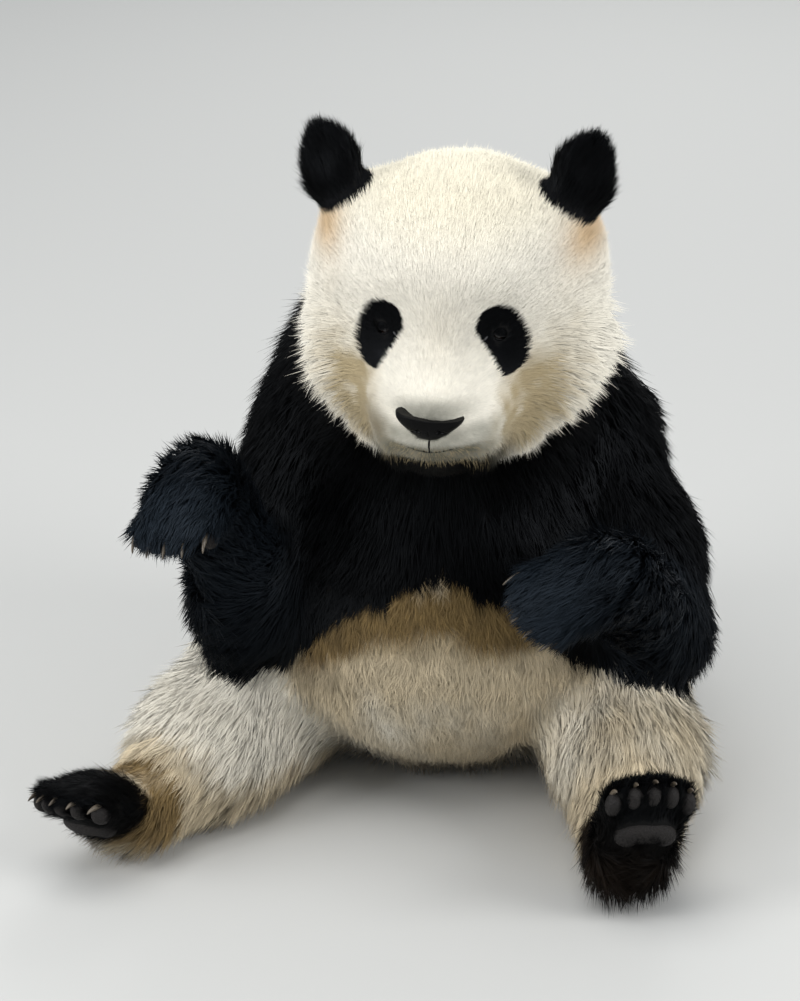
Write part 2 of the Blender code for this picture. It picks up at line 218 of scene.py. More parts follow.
HEAD_LUMPS = [
    ((0, 0.022, 0.026), (0.136, 0.130, 0.120)),
    ((-0.090, 0.030, 0.040), (0.057, 0.075, 0.078)),
    ((0.086, 0.030, 0.040), (0.057, 0.075, 0.078)),
    ((-0.072, -0.010, -0.038), (0.076, 0.092, 0.070)),
    ((0.072, -0.010, -0.038), (0.076, 0.092, 0.070)),
    ((0, -0.060, -0.050), (0.090, 0.100, 0.080)),
    ((0, -0.130, -0.060), (0.060, 0.062, 0.048)),
    ((-0.112, 0.042, -0.042), (0.044, 0.044, 0.038)),
    ((0.112, 0.042, -0.042), (0.044, 0.044, 0.038)),
]
TRUNK_LUMPS = [
    ((0, 0.085, 0.165), (0.258, 0.220, 0.177)),
    ((0, -0.020, 0.205), (0.208, 0.208, 0.172)),
    ((0, 0.070, 0.345), (0.190, 0.178, 0.165)),
]
head_inverse = HEAD.inverted()
nose_low, nose_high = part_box("nose")
nose_at = (nose_low + nose_high) / 2
NOSE = np.array(head_inverse @ nose_at)  # in the head's own frame: -Y out of the face, +Z up
print("the nose, from the middle of the head:", NOSE.round(3))


# %% How near a point is to each part
def ball_gap(points, at, size, place=Matrix()):
    """About how far points lie outside an ellipsoid."""
    local = carried(points, (place @ Matrix.Translation(at)).inverted()) / np.array(size)
    reach = np.linalg.norm(local, axis=1) + 1e-9
    slope = np.linalg.norm(local / np.array(size), axis=1) + 1e-9
    return reach * (reach - 1) / slope


def bone_share(points, start, end):
    """How far along a bone each point lies: 0 at its start and 1 at its end."""
    start, along = np.array(start), np.array(end) - np.array(start)
    return np.clip((points - start) @ along / (along @ along), 0, 1)


def bone_gap(points, start, end, start_radius, end_radius):
    """How far points lie outside a limb that narrows along its bone."""
    share = bone_share(points, start, end)
    spine = np.array(start) + share[:, None] * (np.array(end) - np.array(start))
    radius = start_radius + share * (end_radius - start_radius)
    return np.linalg.norm(points - spine, axis=1) - radius


def ramp(values, low, high):
    """0 below low, 1 above high, and an S between."""
    share = np.clip((values - low) / (high - low), 0, 1)
    return share * share * (3 - 2 * share)


# %% A point's owners
MELT = 0.010  # metres over which one part gives way to the next


def paw_frame(limb):
    """A paw's own frame: +Y runs to the toes and +Z out of its back."""
    wrist, toes = Vector(LIMBS[limb][2]), Vector(LIMBS[limb][3])
    y = (toes - wrist).normalized()
    x = y.cross(Vector(PAW_BACKS[limb])).normalized()
    return Matrix.Translation(wrist) @ Matrix((x, y, x.cross(y))).transposed().to_4x4()


def ear_frame(sign):
    """An ear's own frame: +Z runs to its tip."""
    x, y, z = EAR_PLACE
    turn = Euler([math.radians(a) for a in (EAR_TURN[0], sign * EAR_TURN[1], sign * EAR_TURN[2])])
    return HEAD @ Matrix.Translation((sign * x - EAR_LEAN, y, z)) @ turn.to_matrix().to_4x4()


def owners_of(points):
    """Each part's share in each point, by the part's name."""
    gaps = {
        "head": np.min([ball_gap(points, at, size, HEAD) for at, size in HEAD_LUMPS], axis=0),
        "neck": bone_gap(points, (0, 0.070, 0.400), (0.004, -0.070, 0.488), 0.150, 0.138),
        "trunk": np.min([ball_gap(points, at, size) for at, size in TRUNK_LUMPS], axis=0),
        "tail": bone_gap(points, (0, 0.280, 0.100), (0, 0.308, 0.050), 0.048, 0.040),
    }
    for side, sign in SIDES.items():
        gaps["ear_" + side] = ball_gap(points, (0, 0, 0), EAR_HALF, ear_frame(sign))
    for limb, places in LIMBS.items():
        kind = limb[:3]
        radii = LIMB_RADII[kind]
        width, length = PAW_SIZES[kind]
        for part, (start, end, near, far) in {
            "upper_": (*places[0:2], radii[0], radii[1]),
            "lower_": (*places[1:3], radii[1], radii[2]),
        }.items():
            gaps[part + limb] = bone_gap(points, start, end, near, far)
        paw = paw_frame(limb)
        gaps["paw_" + limb] = ball_gap(
            points, (0, length * 0.52, 0), (width * 0.47, length * 0.56, width * 0.36), paw
        )
    least = np.min(list(gaps.values()), axis=0)
    shares = {name: np.exp(-(gap - least) / MELT) for name, gap in gaps.items()}
    total = sum(shares.values())
    return {name: share / total for name, share in shares.items()}


# %% [markdown]
# ## How long the coat is
# A panda's hair is a few millimetres long beside its nose, a centimetre round its eyes, and
# three to five centimetres on its cheeks, arms and body. Length drives three things: how far the
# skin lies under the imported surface, how long each tuft is, and how many tufts are needed.

# %% Hair length at any point
FROM_NOSE = (0.02, 0.05, 0.085, 0.12, 0.17, 0.25, 0.32)  # metres back from the nose
FACE_HAIR = (0.0042, 0.0060, 0.0080, 0.010, 0.0125, 0.016, 0.026)  # hair's length there
CHEEK_LONGER = 0.027
CHIN_LONGER = 0.008
BELLY_SHORTER = 0.018
BODY_HAIR = {
    "neck": 0.038, "trunk": 0.042, "tail": 0.048,
    "upper_arm": 0.036, "lower_arm": 0.037, "paw_arm": 0.026,
    "upper_leg": 0.040, "lower_leg": 0.034, "paw_leg": 0.020, "ear": 0.020,
}
DEPTH_PER_LENGTH = 0.34  # hair lies over, so the coat is a third as deep as hair is long
DEPTH_OF_LONG = 1.0  # and a little deeper where it is long, for 1 / metres of length
EARS_FLATTER = 0.55  # share of the depth that is missing on the ears


def belly_share(points):
    """1 on the belly, whose hair is worn short, and 0 elsewhere."""
    return ramp(-points[:, 1], 0.03, 0.12) * (1 - ramp(points[:, 2], 0.260, 0.300))


def chin_share(local):
    """1 under the chin, where the hair hangs in a fringe, and 0 elsewhere."""
    low = ramp(-local[:, 2], 0.078, 0.094) * ramp(-local[:, 1], 0.06, 0.11)
    return low * (1 - ramp(np.abs(local[:, 0]), 0.035, 0.070))


def jaw_share(local):
    """1 along the jaw on both sides of the chin, where the fringe hangs longest."""
    side = np.abs(local[:, 0])
    across = ramp(side, 0.026, 0.044) * (1 - ramp(side, 0.072, 0.092))
    return across * ramp(-local[:, 2], 0.066, 0.086) * ramp(-local[:, 1], 0.02, 0.06)


def cheek_share(local):
    """1 on the cheeks' sides and the ruff under them, where the hair is long, and 0 elsewhere."""
    return ramp(np.abs(local[:, 0]), 0.062, 0.118) * ramp(-local[:, 2], -0.045, 0.020)


def head_hair(points):
    """Hair length on the head, from how far back from the nose it grows."""
    local = carried(points, head_inverse)
    back = np.linalg.norm((local - NOSE) * (1, 1, 0.9), axis=1)
    length = np.interp(back, FROM_NOSE, FACE_HAIR)
    return length + cheek_share(local) * CHEEK_LONGER + chin_share(local) * CHIN_LONGER


def hair_length(points, owners):
    """Hair length at each point, whatever part it is on."""
    length = owners["head"] * head_hair(points)
    for name, share in owners.items():
        if name != "head":
            length += share * next(v for k, v in BODY_HAIR.items() if name.startswith(k))
    return length - owners["trunk"] * belly_share(points) * BELLY_SHORTER


# %% How deep the skin lies
PAD_HALF = (0.0328, 0.0175, 0.0265)  # the half sizes of the ball that the nose pad is cut from
PAD_LIFT = 0.009  # how far that ball's middle lies above the pad's: it is widest near its top
PAD_CUT = (0.16, 0.20, 0.05)  # the half sizes of the ball that cuts its upper edge
PAD_CUT_AT = (0.040, 0, 0.0562)  # that ball's middle: off to one side, so that the edge slopes
PAD_PINCH = 0.78  # how wide the nose pad's foot is made, for 1 on the ball
UNDER_PAD = 0.004  # how much deeper the skin lies under the nose pad


def under_pad(points):
    """1 behind the nose pad: below its upper edge, and inside its oval."""
    across, forward, up = (carried(points, head_inverse) - NOSE).T
    narrowing = 1 - (1 - PAD_PINCH) * ramp(-up, -0.008, 0.010)
    oval = (across / PAD_HALF[0] / narrowing) ** 2 + ((up - PAD_LIFT) / PAD_HALF[2]) ** 2
    share = (across - PAD_CUT_AT[0]) / PAD_CUT[0]
    edge = PAD_CUT_AT[2] - PAD_CUT[2] * np.sqrt(np.maximum(1 - share ** 2, 0))
    front = forward < PAD_HALF[1]
    return ramp(1 - oval, 0.0, 0.2) * ramp(edge - up, 0.0, 0.003) * front


def coat_depth(points, owners):
    """How far the skin lies under the tips of the coat: less on the ears, whose hair lies flat."""
    ears = owners["ear_left"] + owners["ear_right"]
    length = hair_length(points, owners)
    depth = length * (DEPTH_PER_LENGTH + DEPTH_OF_LONG * length) * (1 - EARS_FLATTER * ears)
    return depth + under_pad(points) * UNDER_PAD


# %% [markdown]
# ## The skin
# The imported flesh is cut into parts, and a living skin isn't. Copies of the parts are joined and
# remeshed with a Voxel Remesh, which melts them into one closed surface of even squares. A Smooth
# rubs out the facets, more on the body than on the face. A Displace, with a vertex group for the
# coat's depth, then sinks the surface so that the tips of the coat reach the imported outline.

# %% One surface from all the flesh
VOXEL = 0.0050
WELD = 0.00002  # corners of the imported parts' loose triangles that lie this near are one


def packed_copies(name, nodes):
    """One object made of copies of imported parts, with their loose triangles merged."""
    whole = joined(name, [add_object(name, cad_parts[node].data.copy()) for node in nodes])
    bpy.ops.object.mode_set(mode="EDIT")
    bpy.ops.mesh.select_all(action="SELECT")
    bpy.ops.mesh.remove_doubles(threshold=WELD)
    bpy.ops.object.mode_set(mode="OBJECT")
    whole.data.materials.clear()
    return whole


flesh = [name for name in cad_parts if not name.startswith(("eye", "nose", "claw"))]
skin = packed_copies("skin", [*flesh, "eye_left", "eye_right", "nose"])
modify(skin, "REMESH", mode="VOXEL", voxel_size=VOXEL)
print("the skin starts as", len(skin.data.polygons), "squares")


# %% Rub out the facets and sink it by the coat's depth
def weigh(obj, name, weights):
    """A vertex group that holds one weight for each vertex."""
    group = obj.vertex_groups.new(name=name)
    levels = np.clip(np.round(np.array(weights) * 100), 0, 100).astype(int)
    for level in np.unique(levels):
        group.add([int(i) for i in np.flatnonzero(levels == level)], level / 100, "REPLACE")
    return group.name


FINE_FORM = 0.72  # share of the smoothing that is kept from the face, ears and paws


def softness(owners):
    """How much smoothing each point gets: little on the face, ears and paws."""
    fine = owners["head"] + owners["ear_left"] + owners["ear_right"]
    for limb in LIMBS:
        fine = fine + owners["paw_" + limb]
    return 1 - FINE_FORM * fine


points = corners_of(skin.data)
owners = owners_of(points)
whole_skin = weigh(skin, "soft", softness(owners))
modify(skin, "SMOOTH", factor=0.6, iterations=14, vertex_group=whole_skin)
points = corners_of(skin.data)
depths = coat_depth(points, owners)
deepest = depths.max()
sink = weigh(skin, "depth", depths / deepest)
modify(skin, "DISPLACE", strength=-deepest, mid_level=0, vertex_group=sink)
modify(skin, "REMESH", mode="VOXEL", voxel_size=VOXEL * 0.9)
points = corners_of(skin.data)
fine_skin = weigh(skin, "soft", softness(owners_of(points)))
modify(skin, "SMOOTH", factor=0.5, iterations=4, vertex_group=fine_skin)
skin.vertex_groups.clear()
print("the skin lies up to", round(deepest * 1000), "mm deep")
print("and has", len(skin.data.polygons), "squares")

# %% [markdown]
# ## Eyes
# A panda's eye is small and dark, sunk in its black patch, and half shut by heavy lids. The ball
# is a sphere whose pole looks out; a ring of faces round the pole is drawn out a little for the
# cornea. The lids are a second, larger sphere whose poles are the two corners of the eye, so that
# taking out a wedge of faces leaves an opening with the almond shape of a real one. Each eye lies
# in a socket, which a Boolean cuts out of the skin.

# %% Where the eyes look
GAZE_OUT = 0.30  # how far each eye looks to its own side, for 1 ahead
GAZE_DOWN = 0.10
EYE_SUNK = 0.0056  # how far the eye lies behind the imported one, as the skin lies under the coat
CORNER_DROP = 0.34  # how much lower an eye's outer corner lies, for 1 across
eyes = {}
for side, sign in SIDES.items():
    low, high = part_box("eye_" + side)
    look = HEAD.to_3x3() @ Vector((sign * GAZE_OUT, -1, -GAZE_DOWN)).normalized()
    across = (HEAD.to_3x3() @ Vector((1, GAZE_OUT * sign, -CORNER_DROP * sign))).normalized()
    eyes[side] = {"radius": (high.z - low.z) / 2, "look": look}
    eyes[side]["at"] = (low + high) / 2 - look * EYE_SUNK
    eyes[side]["corner"] = (across - look * across.dot(look)).normalized()
    print("eye", side, [round(v, 4) for v in eyes[side]["at"]])


# %% Sockets
SOCKET = 1.25  # a socket's size for an eye of 1

for eye in eyes.values():
    cut(skin, stretched_ball("socket", eye["at"], [eye["radius"] * SOCKET] * 3, rings=20))
print("the skin with its sockets:", len(skin.data.polygons), "faces")

# %% Unwrap the skin
def unwrap(obj):
    """Gives the object a map of its own shape, which the tufts on it share."""
    select_alone(obj)
    bpy.ops.object.shade_smooth()
    bpy.ops.object.mode_set(mode="EDIT")
    bpy.ops.mesh.select_all(action="SELECT")
    bpy.ops.uv.smart_project(angle_limit=math.radians(75), island_margin=0.001)
    bpy.ops.object.mode_set(mode="OBJECT")
    obj.data.uv_layers.active.name = "OFBake"


unwrap(skin)
print("unwrapped", len(skin.data.loops), "corners")

# %% Eyeballs
def facing(at, forward, up_hint):
    """A frame whose +Z runs forward and whose +X is as near up_hint as it can be."""
    x = (up_hint - forward * up_hint.dot(forward)).normalized()
    y = forward.cross(x)
    return Matrix.Translation(at) @ Matrix((x, y, forward)).transposed().to_4x4()


def settled(obj, place):
    """Moves the object by a 4 x 4 matrix and applies it, so that it ends at the origin."""
    obj.matrix_world = place @ obj.matrix_world
    bpy.context.view_layer.update()
    select_alone(obj)
    bpy.ops.object.transform_apply(location=True, rotation=True, scale=True)
    bpy.ops.object.shade_smooth()
    return obj


def pick_vertices(obj, test):
    """In edit mode, selects only the vertices whose place passes the test."""
    select_alone(obj)
    bpy.ops.object.mode_set(mode="EDIT")
    bpy.ops.mesh.select_mode(type="VERT")
    bpy.ops.mesh.select_all(action="DESELECT")
    bpy.ops.object.mode_set(mode="OBJECT")
    for vertex in obj.data.vertices:
        vertex.select = bool(test(vertex.co))
    bpy.ops.object.mode_set(mode="EDIT")


EYEBALL = 0.97  # an eyeball's size for an eye of 1
CORNEA_FROM = 0.90  # how far forward the cornea starts
CORNEA_OUT = 0.0006
eyeballs = {}
for side, eye in eyes.items():
    ball = new_sphere("eyeball_" + side, 48, 32, radius=eye["radius"] * EYEBALL)
    cornea = eye["radius"] * CORNEA_FROM
    pick_vertices(ball, lambda co: co.z > cornea)
    bpy.ops.transform.translate(
        value=(0, 0, CORNEA_OUT), use_proportional_edit=True, proportional_size=0.005
    )
    eyeballs[side] = settled(ball, facing(eye["at"], eye["look"], eye["corner"]))
print("eyeballs", [len(b.data.polygons) for b in eyeballs.values()])

# %% Eyelids
LID_SIZE = 1.03  # the lids' inner radius for an eye of 1
LID_THICKNESS = 0.0011
UPPER_EDGE = -2  # degrees above the line of sight at which the upper lid ends
LOWER_EDGE = -14  # and the lower lid
LID_REACH = 100  # degrees round to which a lid goes
BARE_LOWER_LID = 22  # degrees of the lower lid that stay bare, below its edge


def lid_angle(co):
    """Degrees round the line between the eye's corners, up from the line of sight."""
    return math.degrees(math.atan2(co.y, co.x))


lids = {}
for side, eye in eyes.items():
    lid = new_sphere("eyelids_" + side, 72, 28, radius=eye["radius"] * LID_SIZE)
    pick_vertices(
        lid,
        lambda co: not (
            UPPER_EDGE <= lid_angle(co) <= LID_REACH or -LID_REACH <= lid_angle(co) <= LOWER_EDGE
        ) and math.hypot(co.x, co.y) > 1e-5,
    )
    bpy.ops.mesh.delete(type="VERT")
    modify(lid, "SOLIDIFY", thickness=LID_THICKNESS, offset=1)
    modify(lid, "BEVEL", width=0.0004, segments=2, limit_method="ANGLE")
    corner, look = eye["corner"], eye["look"]
    up = corner.cross(look)
    up = up if up.z > 0 else -up
    eye["up"] = up
    turn = Matrix((look, up, look.cross(up))).transposed().to_4x4()
    lids[side] = settled(lid, Matrix.Translation(eye["at"]) @ turn)
    unwrap(lid)
print("lids", [len(o.data.polygons) for o in lids.values()])


def lid_cover(corners, lid):
    """Where hair grows on lids: on their outside, away from the opening's rim."""
    eye = eyes[lid.name.removeprefix("eyelids_")]
    away = corners.mean(1) - np.array(eye["at"])
    angle = np.degrees(np.arctan2(away @ np.array(eye["up"]), away @ np.array(eye["look"])))
    outside = np.linalg.norm(away, axis=1) > eye["radius"] * LID_SIZE + LID_THICKNESS * 0.7
    hairy = (angle > UPPER_EDGE + 1) | (angle < LOWER_EDGE - BARE_LOWER_LID)
    return outside * hairy * (np.abs(angle) < LID_REACH)


# %% [markdown]
# ## Nose
# The nose pad is a wide, blunt wedge of wet leather with a comma-shaped nostril on each side and a
# groove down its middle, widest at its sloping upper edge. It could be sculpted; here a sphere is
# flattened, pinched below with proportional editing, and cut by Booleans for its upper edge, the
# nostrils and the groove. A remesh and a little smoothing then give every cut a soft lip.

# %% The nose pad
PAD_FOOT = -0.010  # height below which the pad is pinched
PAD_FOOT_SPREAD = 0.022  # metres over which the pinch fades out above
NOSTRIL = (  # a hole and its slit on the left: place, half sizes, and turn in degrees
    ((0.0100, -0.0165, -0.0040), (0.0034, 0.0055, 0.0028), (0, 0, 0)),
    ((0.0150, -0.0140, -0.0050), (0.0060, 0.0045, 0.0013), (0, 18, 26)),
)
GROOVE = ((0, -0.0165, -0.0095), (0.0010, 0.0040, 0.0085))  # place and half sizes

bpy.ops.object.select_all(action="DESELECT")
nose = stretched_ball("nose_pad", (0, 0, PAD_LIFT), PAD_HALF, rings=40)
pick_vertices(nose, lambda co: co.z < PAD_FOOT)
bpy.ops.transform.resize(
    value=(PAD_PINCH, 1, 1), use_proportional_edit=True, proportional_size=PAD_FOOT_SPREAD,
    center_override=(0, 0, 0),
)
bpy.ops.object.mode_set(mode="OBJECT")
nostrils = []
for sign in SIDES.values():
    for (x, y, z), size, turn in NOSTRIL:
        turn = [sign * angle for angle in turn]
        nostrils.append(stretched_ball("nostril", (sign * x, y, z), size, turn))
groove = stretched_ball("groove", *GROOVE)
edge = stretched_ball("edge", PAD_CUT_AT, PAD_CUT, rings=64)
cut(nose, *nostrils, groove, edge)
modify(nose, "REMESH", mode="VOXEL", voxel_size=0.0007)
modify(nose, "SMOOTH", factor=0.5, iterations=5)
nose = settled(nose, Matrix.Translation(nose_at) @ HEAD.to_3x3().to_4x4())
print("nose pad", len(nose.data.polygons), "faces")

# %% [markdown]
# ## Lips
# The mouth is closed, and only a dark line shows: down from the nose, then out and back along
# each side. The skin isn't fine enough to hold such a line, so the lips are a piece of their own.
# A curve with a round bevel follows points dropped onto the skin, and is then made a mesh.

# %% The lip line
skin_tree = BVHTree.FromObject(skin, bpy.context.evaluated_depsgraph_get())


def on_skin(x, z, out=0.0):
    """The place on the face straight in from the front, at x and z in the head's frame."""
    start = HEAD @ Vector((x, -0.35, z))
    hit, normal, _, _ = skin_tree.ray_cast(start, HEAD.to_3x3() @ Vector((0, 1, 0)))
    return hit + normal * out


def drawn(name, routes, radius, ends=0.35):
    """One mesh of round strands along lists of points, their ends thinner by a share."""
    curve = bpy.data.curves.new(name, "CURVE")
    curve.dimensions = "3D"
    curve.bevel_depth = radius
    curve.bevel_resolution = 3
    curve.resolution_u = 6
    for route in routes:
        spline = curve.splines.new("NURBS")
        spline.points.add(len(route) - 1)
        spline.use_endpoint_u = True
        spline.order_u = 3
        for spot, point in enumerate(route):
            swell = math.sin(math.pi * spot / (len(route) - 1))
            spline.points[spot].co = (*point, 1)
            spline.points[spot].radius = ends + (1 - ends) * swell
    curve.use_fill_caps = True
    select_alone(add_object(name, curve))
    bpy.ops.object.convert(target="MESH")
    bpy.ops.object.shade_smooth()
    return bpy.context.object


MOUTH_Z = NOSE[2] - 0.0275
MOUTH_HALF = 0.029
MOUTH_RISE = 0.0045  # how much higher the corners lie
GROOVE_FROM = 0.014  # how far below the nose's middle the line down from it starts
LIP_RADIUS = 0.0013
mouth_line = []
for share in np.linspace(-1, 1, 15):
    rise = MOUTH_RISE * abs(share) ** 1.3
    mouth_line.append(on_skin(share * MOUTH_HALF, MOUTH_Z + rise, -0.0001))
philtrum = [on_skin(0, z, -0.0002) for z in np.linspace(NOSE[2] - GROOVE_FROM, MOUTH_Z, 5)]
lips = drawn("lips", [mouth_line, philtrum], LIP_RADIUS)
print("lips", len(lips.data.polygons), "faces")

# %% Tears
# A wet gleam lies in each eye's inner corner, where the black patch ends beside the nose.
TEAR_AT = (0.0425, 0.0138)  # across and up in the head's frame
TEAR_SIZE = (0.0009, 0.0009, 0.0030)
TEAR_LEAN = 38  # degrees, outwards at the top
TEAR_OUT = 0.0008  # how far its middle stands out of the skin
tear_places = [on_skin(sign * TEAR_AT[0], TEAR_AT[1], TEAR_OUT) for sign in SIDES.values()]
drops = []
for place, sign in zip(tear_places, SIDES.values()):
    bpy.ops.object.select_all(action="DESELECT")
    drops.append(stretched_ball("tear", place, TEAR_SIZE, (0, sign * TEAR_LEAN, 0), rings=12))
    bpy.ops.object.shade_smooth()
tears = joined("tears", drops)
print("tears", len(tears.data.polygons), "faces")

# %% [markdown]
# ## Pads and claws
# Bare leather pads cushion each paw: one behind the toes and one under each toe. They are balls
# pressed flat, melted into each other by a Voxel Remesh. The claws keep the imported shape: each is
# copied, welded, and rounded by a Subdivision Surface.

# %% Paw pads
def pad_lumps(limb):
    """Centres and half sizes of a paw's pads, in the paw's frame."""
    width, length = PAW_SIZES[limb[:3]]
    lumps = [((0, length * 0.53, -width * 0.235), (width * 0.27, length * 0.10, width * 0.100))]
    for sign in SIDES.values():
        at = (sign * width * 0.17, length * 0.48, -width * 0.215)
        lumps.append((at, (width * 0.13, length * 0.095, width * 0.105)))
    for toe in range(5):
        share = (toe - 2) / 2
        lumps.append((
            (share * width * 0.35, length * (0.83 - 0.10 * share * share), -width * 0.115),
            (width * 0.078, length * 0.098, width * 0.098),
        ))
    return lumps


pads = {}
for limb in LIMBS:
    bpy.ops.object.select_all(action="DESELECT")
    balls = [stretched_ball("pad", at, size, rings=12) for at, size in pad_lumps(limb)]
    pad = joined("pads_" + limb, balls)
    modify(pad, "REMESH", mode="VOXEL", voxel_size=0.0022)
    modify(pad, "SMOOTH", factor=0.5, iterations=3)
    pads[limb] = settled(pad, paw_frame(limb))
print("pads", [len(p.data.polygons) for p in pads.values()])

# %% Claws
claw_names = sorted(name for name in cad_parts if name.startswith("claw"))
claws = packed_copies("claws", claw_names)
bpy.ops.object.mode_set(mode="EDIT")
bpy.ops.mesh.select_all(action="SELECT")
bpy.ops.mesh.normals_make_consistent(inside=False)
bpy.ops.object.mode_set(mode="OBJECT")
modify(claws, "SUBSURF", levels=2, render_levels=2)
bpy.ops.object.shade_smooth()
print("claws", len(claws.data.polygons), "faces")

# %% [markdown]
# ## Markings
# The coat's colours are a function of place, so that skin and tufts can both ask for them. Ears,
# eye patches, arms, hind feet and the band over the shoulders are black, and the rest is cream.
# Earth has browned the belly below the band, both sides of it by the elbows, and the shins, and
# painted shade darkens it more beside the right elbow. Wet and age have stained the cheeks below
# the eyes, the lips and chin, and a patch under each ear; painted shade darkens the tan and grey
# below the eyes, beside the mouth, on the chin and over the nose, a patch of it lies on the face's
# right beside the mouth, and under the chin the coat is painted black as painted shade. The black
# is painted darker than black fur, as painted shade, and lighter and bluer on the forepaws, as
# painted sheen.
# A sum of sine waves with fixed seeds makes the edges and the stains uneven.

# %% Uneven patterns
def waves(points, size, seed, count=14):
    """A smooth pattern, mostly from -1 to 1, whose patches are about size metres across."""
    rng = np.random.default_rng(seed)
    turns = rng.normal(size=(count, 3)) * (2.2 / size)
    phases = rng.uniform(0, math.tau, count)
    return np.sin(points @ turns.T + phases).sum(1) / math.sqrt(count)


def blob(points, at, size):
    """1 at a place and fading to 0 about one size away."""
    return np.exp(-(((points - np.array(at)) / np.array(size)) ** 2).sum(1))


# %% Where the coat is black
PATCH_AT = (0.0568, 0.0120)  # the eye patch's middle, across and up in the head's frame
PATCH_HALF = (0.0222, 0.0345)
PATCH_SQUARE = 2.2  # 2 for an ellipse, and more for an oval with fuller corners
PATCH_LEAN = math.radians(16)  # its top leans in to the nose
PATCH_TEAR = ((0.0385, 0.0110), (0.0545, -0.0145))  # its straight edge along the nose
CHEST_EDGE = (0.266, -0.016)  # height of the chest's black where it is highest, and where that is
CHEST_ARCH = 5.0  # how fast it drops to both sides, for 1 / metres
CHEST_DROP = 0.11  # how far it drops at most
BAND_LOW = (0.268, 0.10)  # height of the band's lower edge on the flanks, and its rise backwards
BAND_TOP = (0.485, -0.15)  # height of its upper edge over the collar, and its rise backwards
BLACK_FROM = {"leg_right": 1.0, "leg_left": 0.66}  # how far down each shin the black starts
EDGE_WAVE = 0.008  # how far the black's edges wander


def patch_mask(local):
    """1 inside the eye patches: a leaning oval each, cut off straight along the nose."""
    flat = np.stack([np.abs(local[:, 0]), local[:, 2]], axis=1) - PATCH_AT
    cos, sin = math.cos(PATCH_LEAN), math.sin(PATCH_LEAN)
    across, along = flat[:, 0] * cos + flat[:, 1] * sin, flat[:, 1] * cos - flat[:, 0] * sin
    reach = np.abs(across / PATCH_HALF[0]) ** PATCH_SQUARE
    reach = (reach + np.abs(along / PATCH_HALF[1]) ** PATCH_SQUARE) ** (1 / PATCH_SQUARE)
    inside = (1 - reach) * PATCH_HALF[0]
    start, end = np.array(PATCH_TEAR) - PATCH_AT
    outward = np.array((end[1] - start[1], start[0] - end[0])) / np.linalg.norm(end - start)
    edge = -(flat - start) @ outward
    return ramp(np.minimum(inside, edge), -0.0018, 0.0018) * (local[:, 1] < -0.02)


def foot_mask(points, limb):
    """1 on a hind foot's toes and sole, and 0 on its heel and back."""
    sole = -carried(points, paw_frame(limb).inverted())[:, 2]
    toes = bone_share(points, *LIMBS[limb][2:]) + waves(points, 0.03, 3) * EDGE_WAVE * 4
    return np.maximum(ramp(toes, 0.0, 0.30), ramp(sole, -0.012, 0.006))


def blackness(points, owners):
    """1 where the coat is black, and 0 where it isn't."""
    x, y, z = points.T
    local = carried(points, head_inverse)
    rough = waves(points, 0.03, 3) * EDGE_WAVE
    arch = CHEST_EDGE[0] - np.minimum(CHEST_ARCH * (x - CHEST_EDGE[1]) ** 2, CHEST_DROP)
    flank = BAND_LOW[0] + BAND_LOW[1] * (y + 0.2) - 0.25 * np.maximum(np.abs(x) - 0.09, 0)
    lower = arch + (flank - arch) * ramp(y, -0.12, 0.02)
    band = ramp(z + rough - lower, -0.008, 0.008)
    upper = BAND_TOP[0] + BAND_TOP[1] * y
    nape = 1 - ramp(z + rough - upper, -0.012, 0.012)
    dark = owners["head"] * patch_mask(local)
    dark = dark + owners["neck"] * nape + owners["trunk"] * band * nape
    for side, sign in SIDES.items():
        base = ball_gap(points, (0, 0, -0.006), EAR_HALF, ear_frame(sign))
        dark = dark + owners["ear_" + side] + owners["head"] * ramp(-base, -0.011, -0.006)
    for limb in ARMS:
        dark = dark + owners["upper_" + limb] + owners["lower_" + limb] + owners["paw_" + limb]
    for limb, start in BLACK_FROM.items():
        shin = bone_share(points, *LIMBS[limb][1:3]) + rough * 6
        dark = dark + owners["lower_" + limb] * ramp(shin, start, start + 0.3)
    dark = dark + owners["paw_leg_right"] * foot_mask(points, "leg_right") + owners["paw_leg_left"]
    return ramp(dark, 0.35, 0.65)


# %% Colours of the face
CREAM = np.array((0.90, 0.855, 0.74))
CROWN = np.array((0.90, 0.835, 0.66))
TAN = np.array((0.40, 0.32, 0.185))
RUST = np.array((0.62, 0.42, 0.22))
# grey of the lips' sides: stain from eating, darkened with painted shade under the muzzle
LIP_GREY_AND_SHADE = np.array((0.30, 0.295, 0.24))
# dark grey of the chin: wet, and darkened with painted shade under the muzzle
CHIN_GREY_AND_SHADE = np.array((0.115, 0.113, 0.080))
# Places in the head's frame are a middle and half sizes. Those with a share lie on both sides.
# Tan stains of the cheeks, darkened past their own colour with painted shade where the face turns
# down: below the eyes and beside the mouth.
CHEEK_STAINS_AND_SHADE = (
    (1.00, (0.082, -0.095, -0.040), (0.030, 0.07, 0.034)),  # below the eye
    (0.34, (0.108, -0.04, -0.015), (0.022, 0.08, 0.050)),  # along the cheek's side
    (0.95, (0.062, -0.095, -0.078), (0.036, 0.07, 0.022)),  # beside the mouth
)
MUZZLE_HALF = 0.055  # how far out the white muzzle reaches between the stains
MUZZLE_NARROWS = 0.45  # how fast it narrows below
UNDER_EAR = ((0.122, 0.010, 0.080), (0.020, 0.08, 0.026))
BROW = ((0, -0.13, 0.02), (0.020, 0.05, 0.035))
NOSE_RIM_SHADE = (NOSE + (0, 0, 0.0105), (0.034, 0.03, 0.0080))  # painted shade on the hair over the nose's top edge
RIGHT_MOUTH_SIDE_SHADE = ((-0.053, -0.150, -0.062), (0.015, 0.09, 0.020))  # painted shade on the face's right, below the muzzle's side


def laid_over(base, top, share):
    """One colour over another, where the share is more than 0."""
    share = np.clip(share, 0, 1)[:, None]
    return base + (top - base) * share


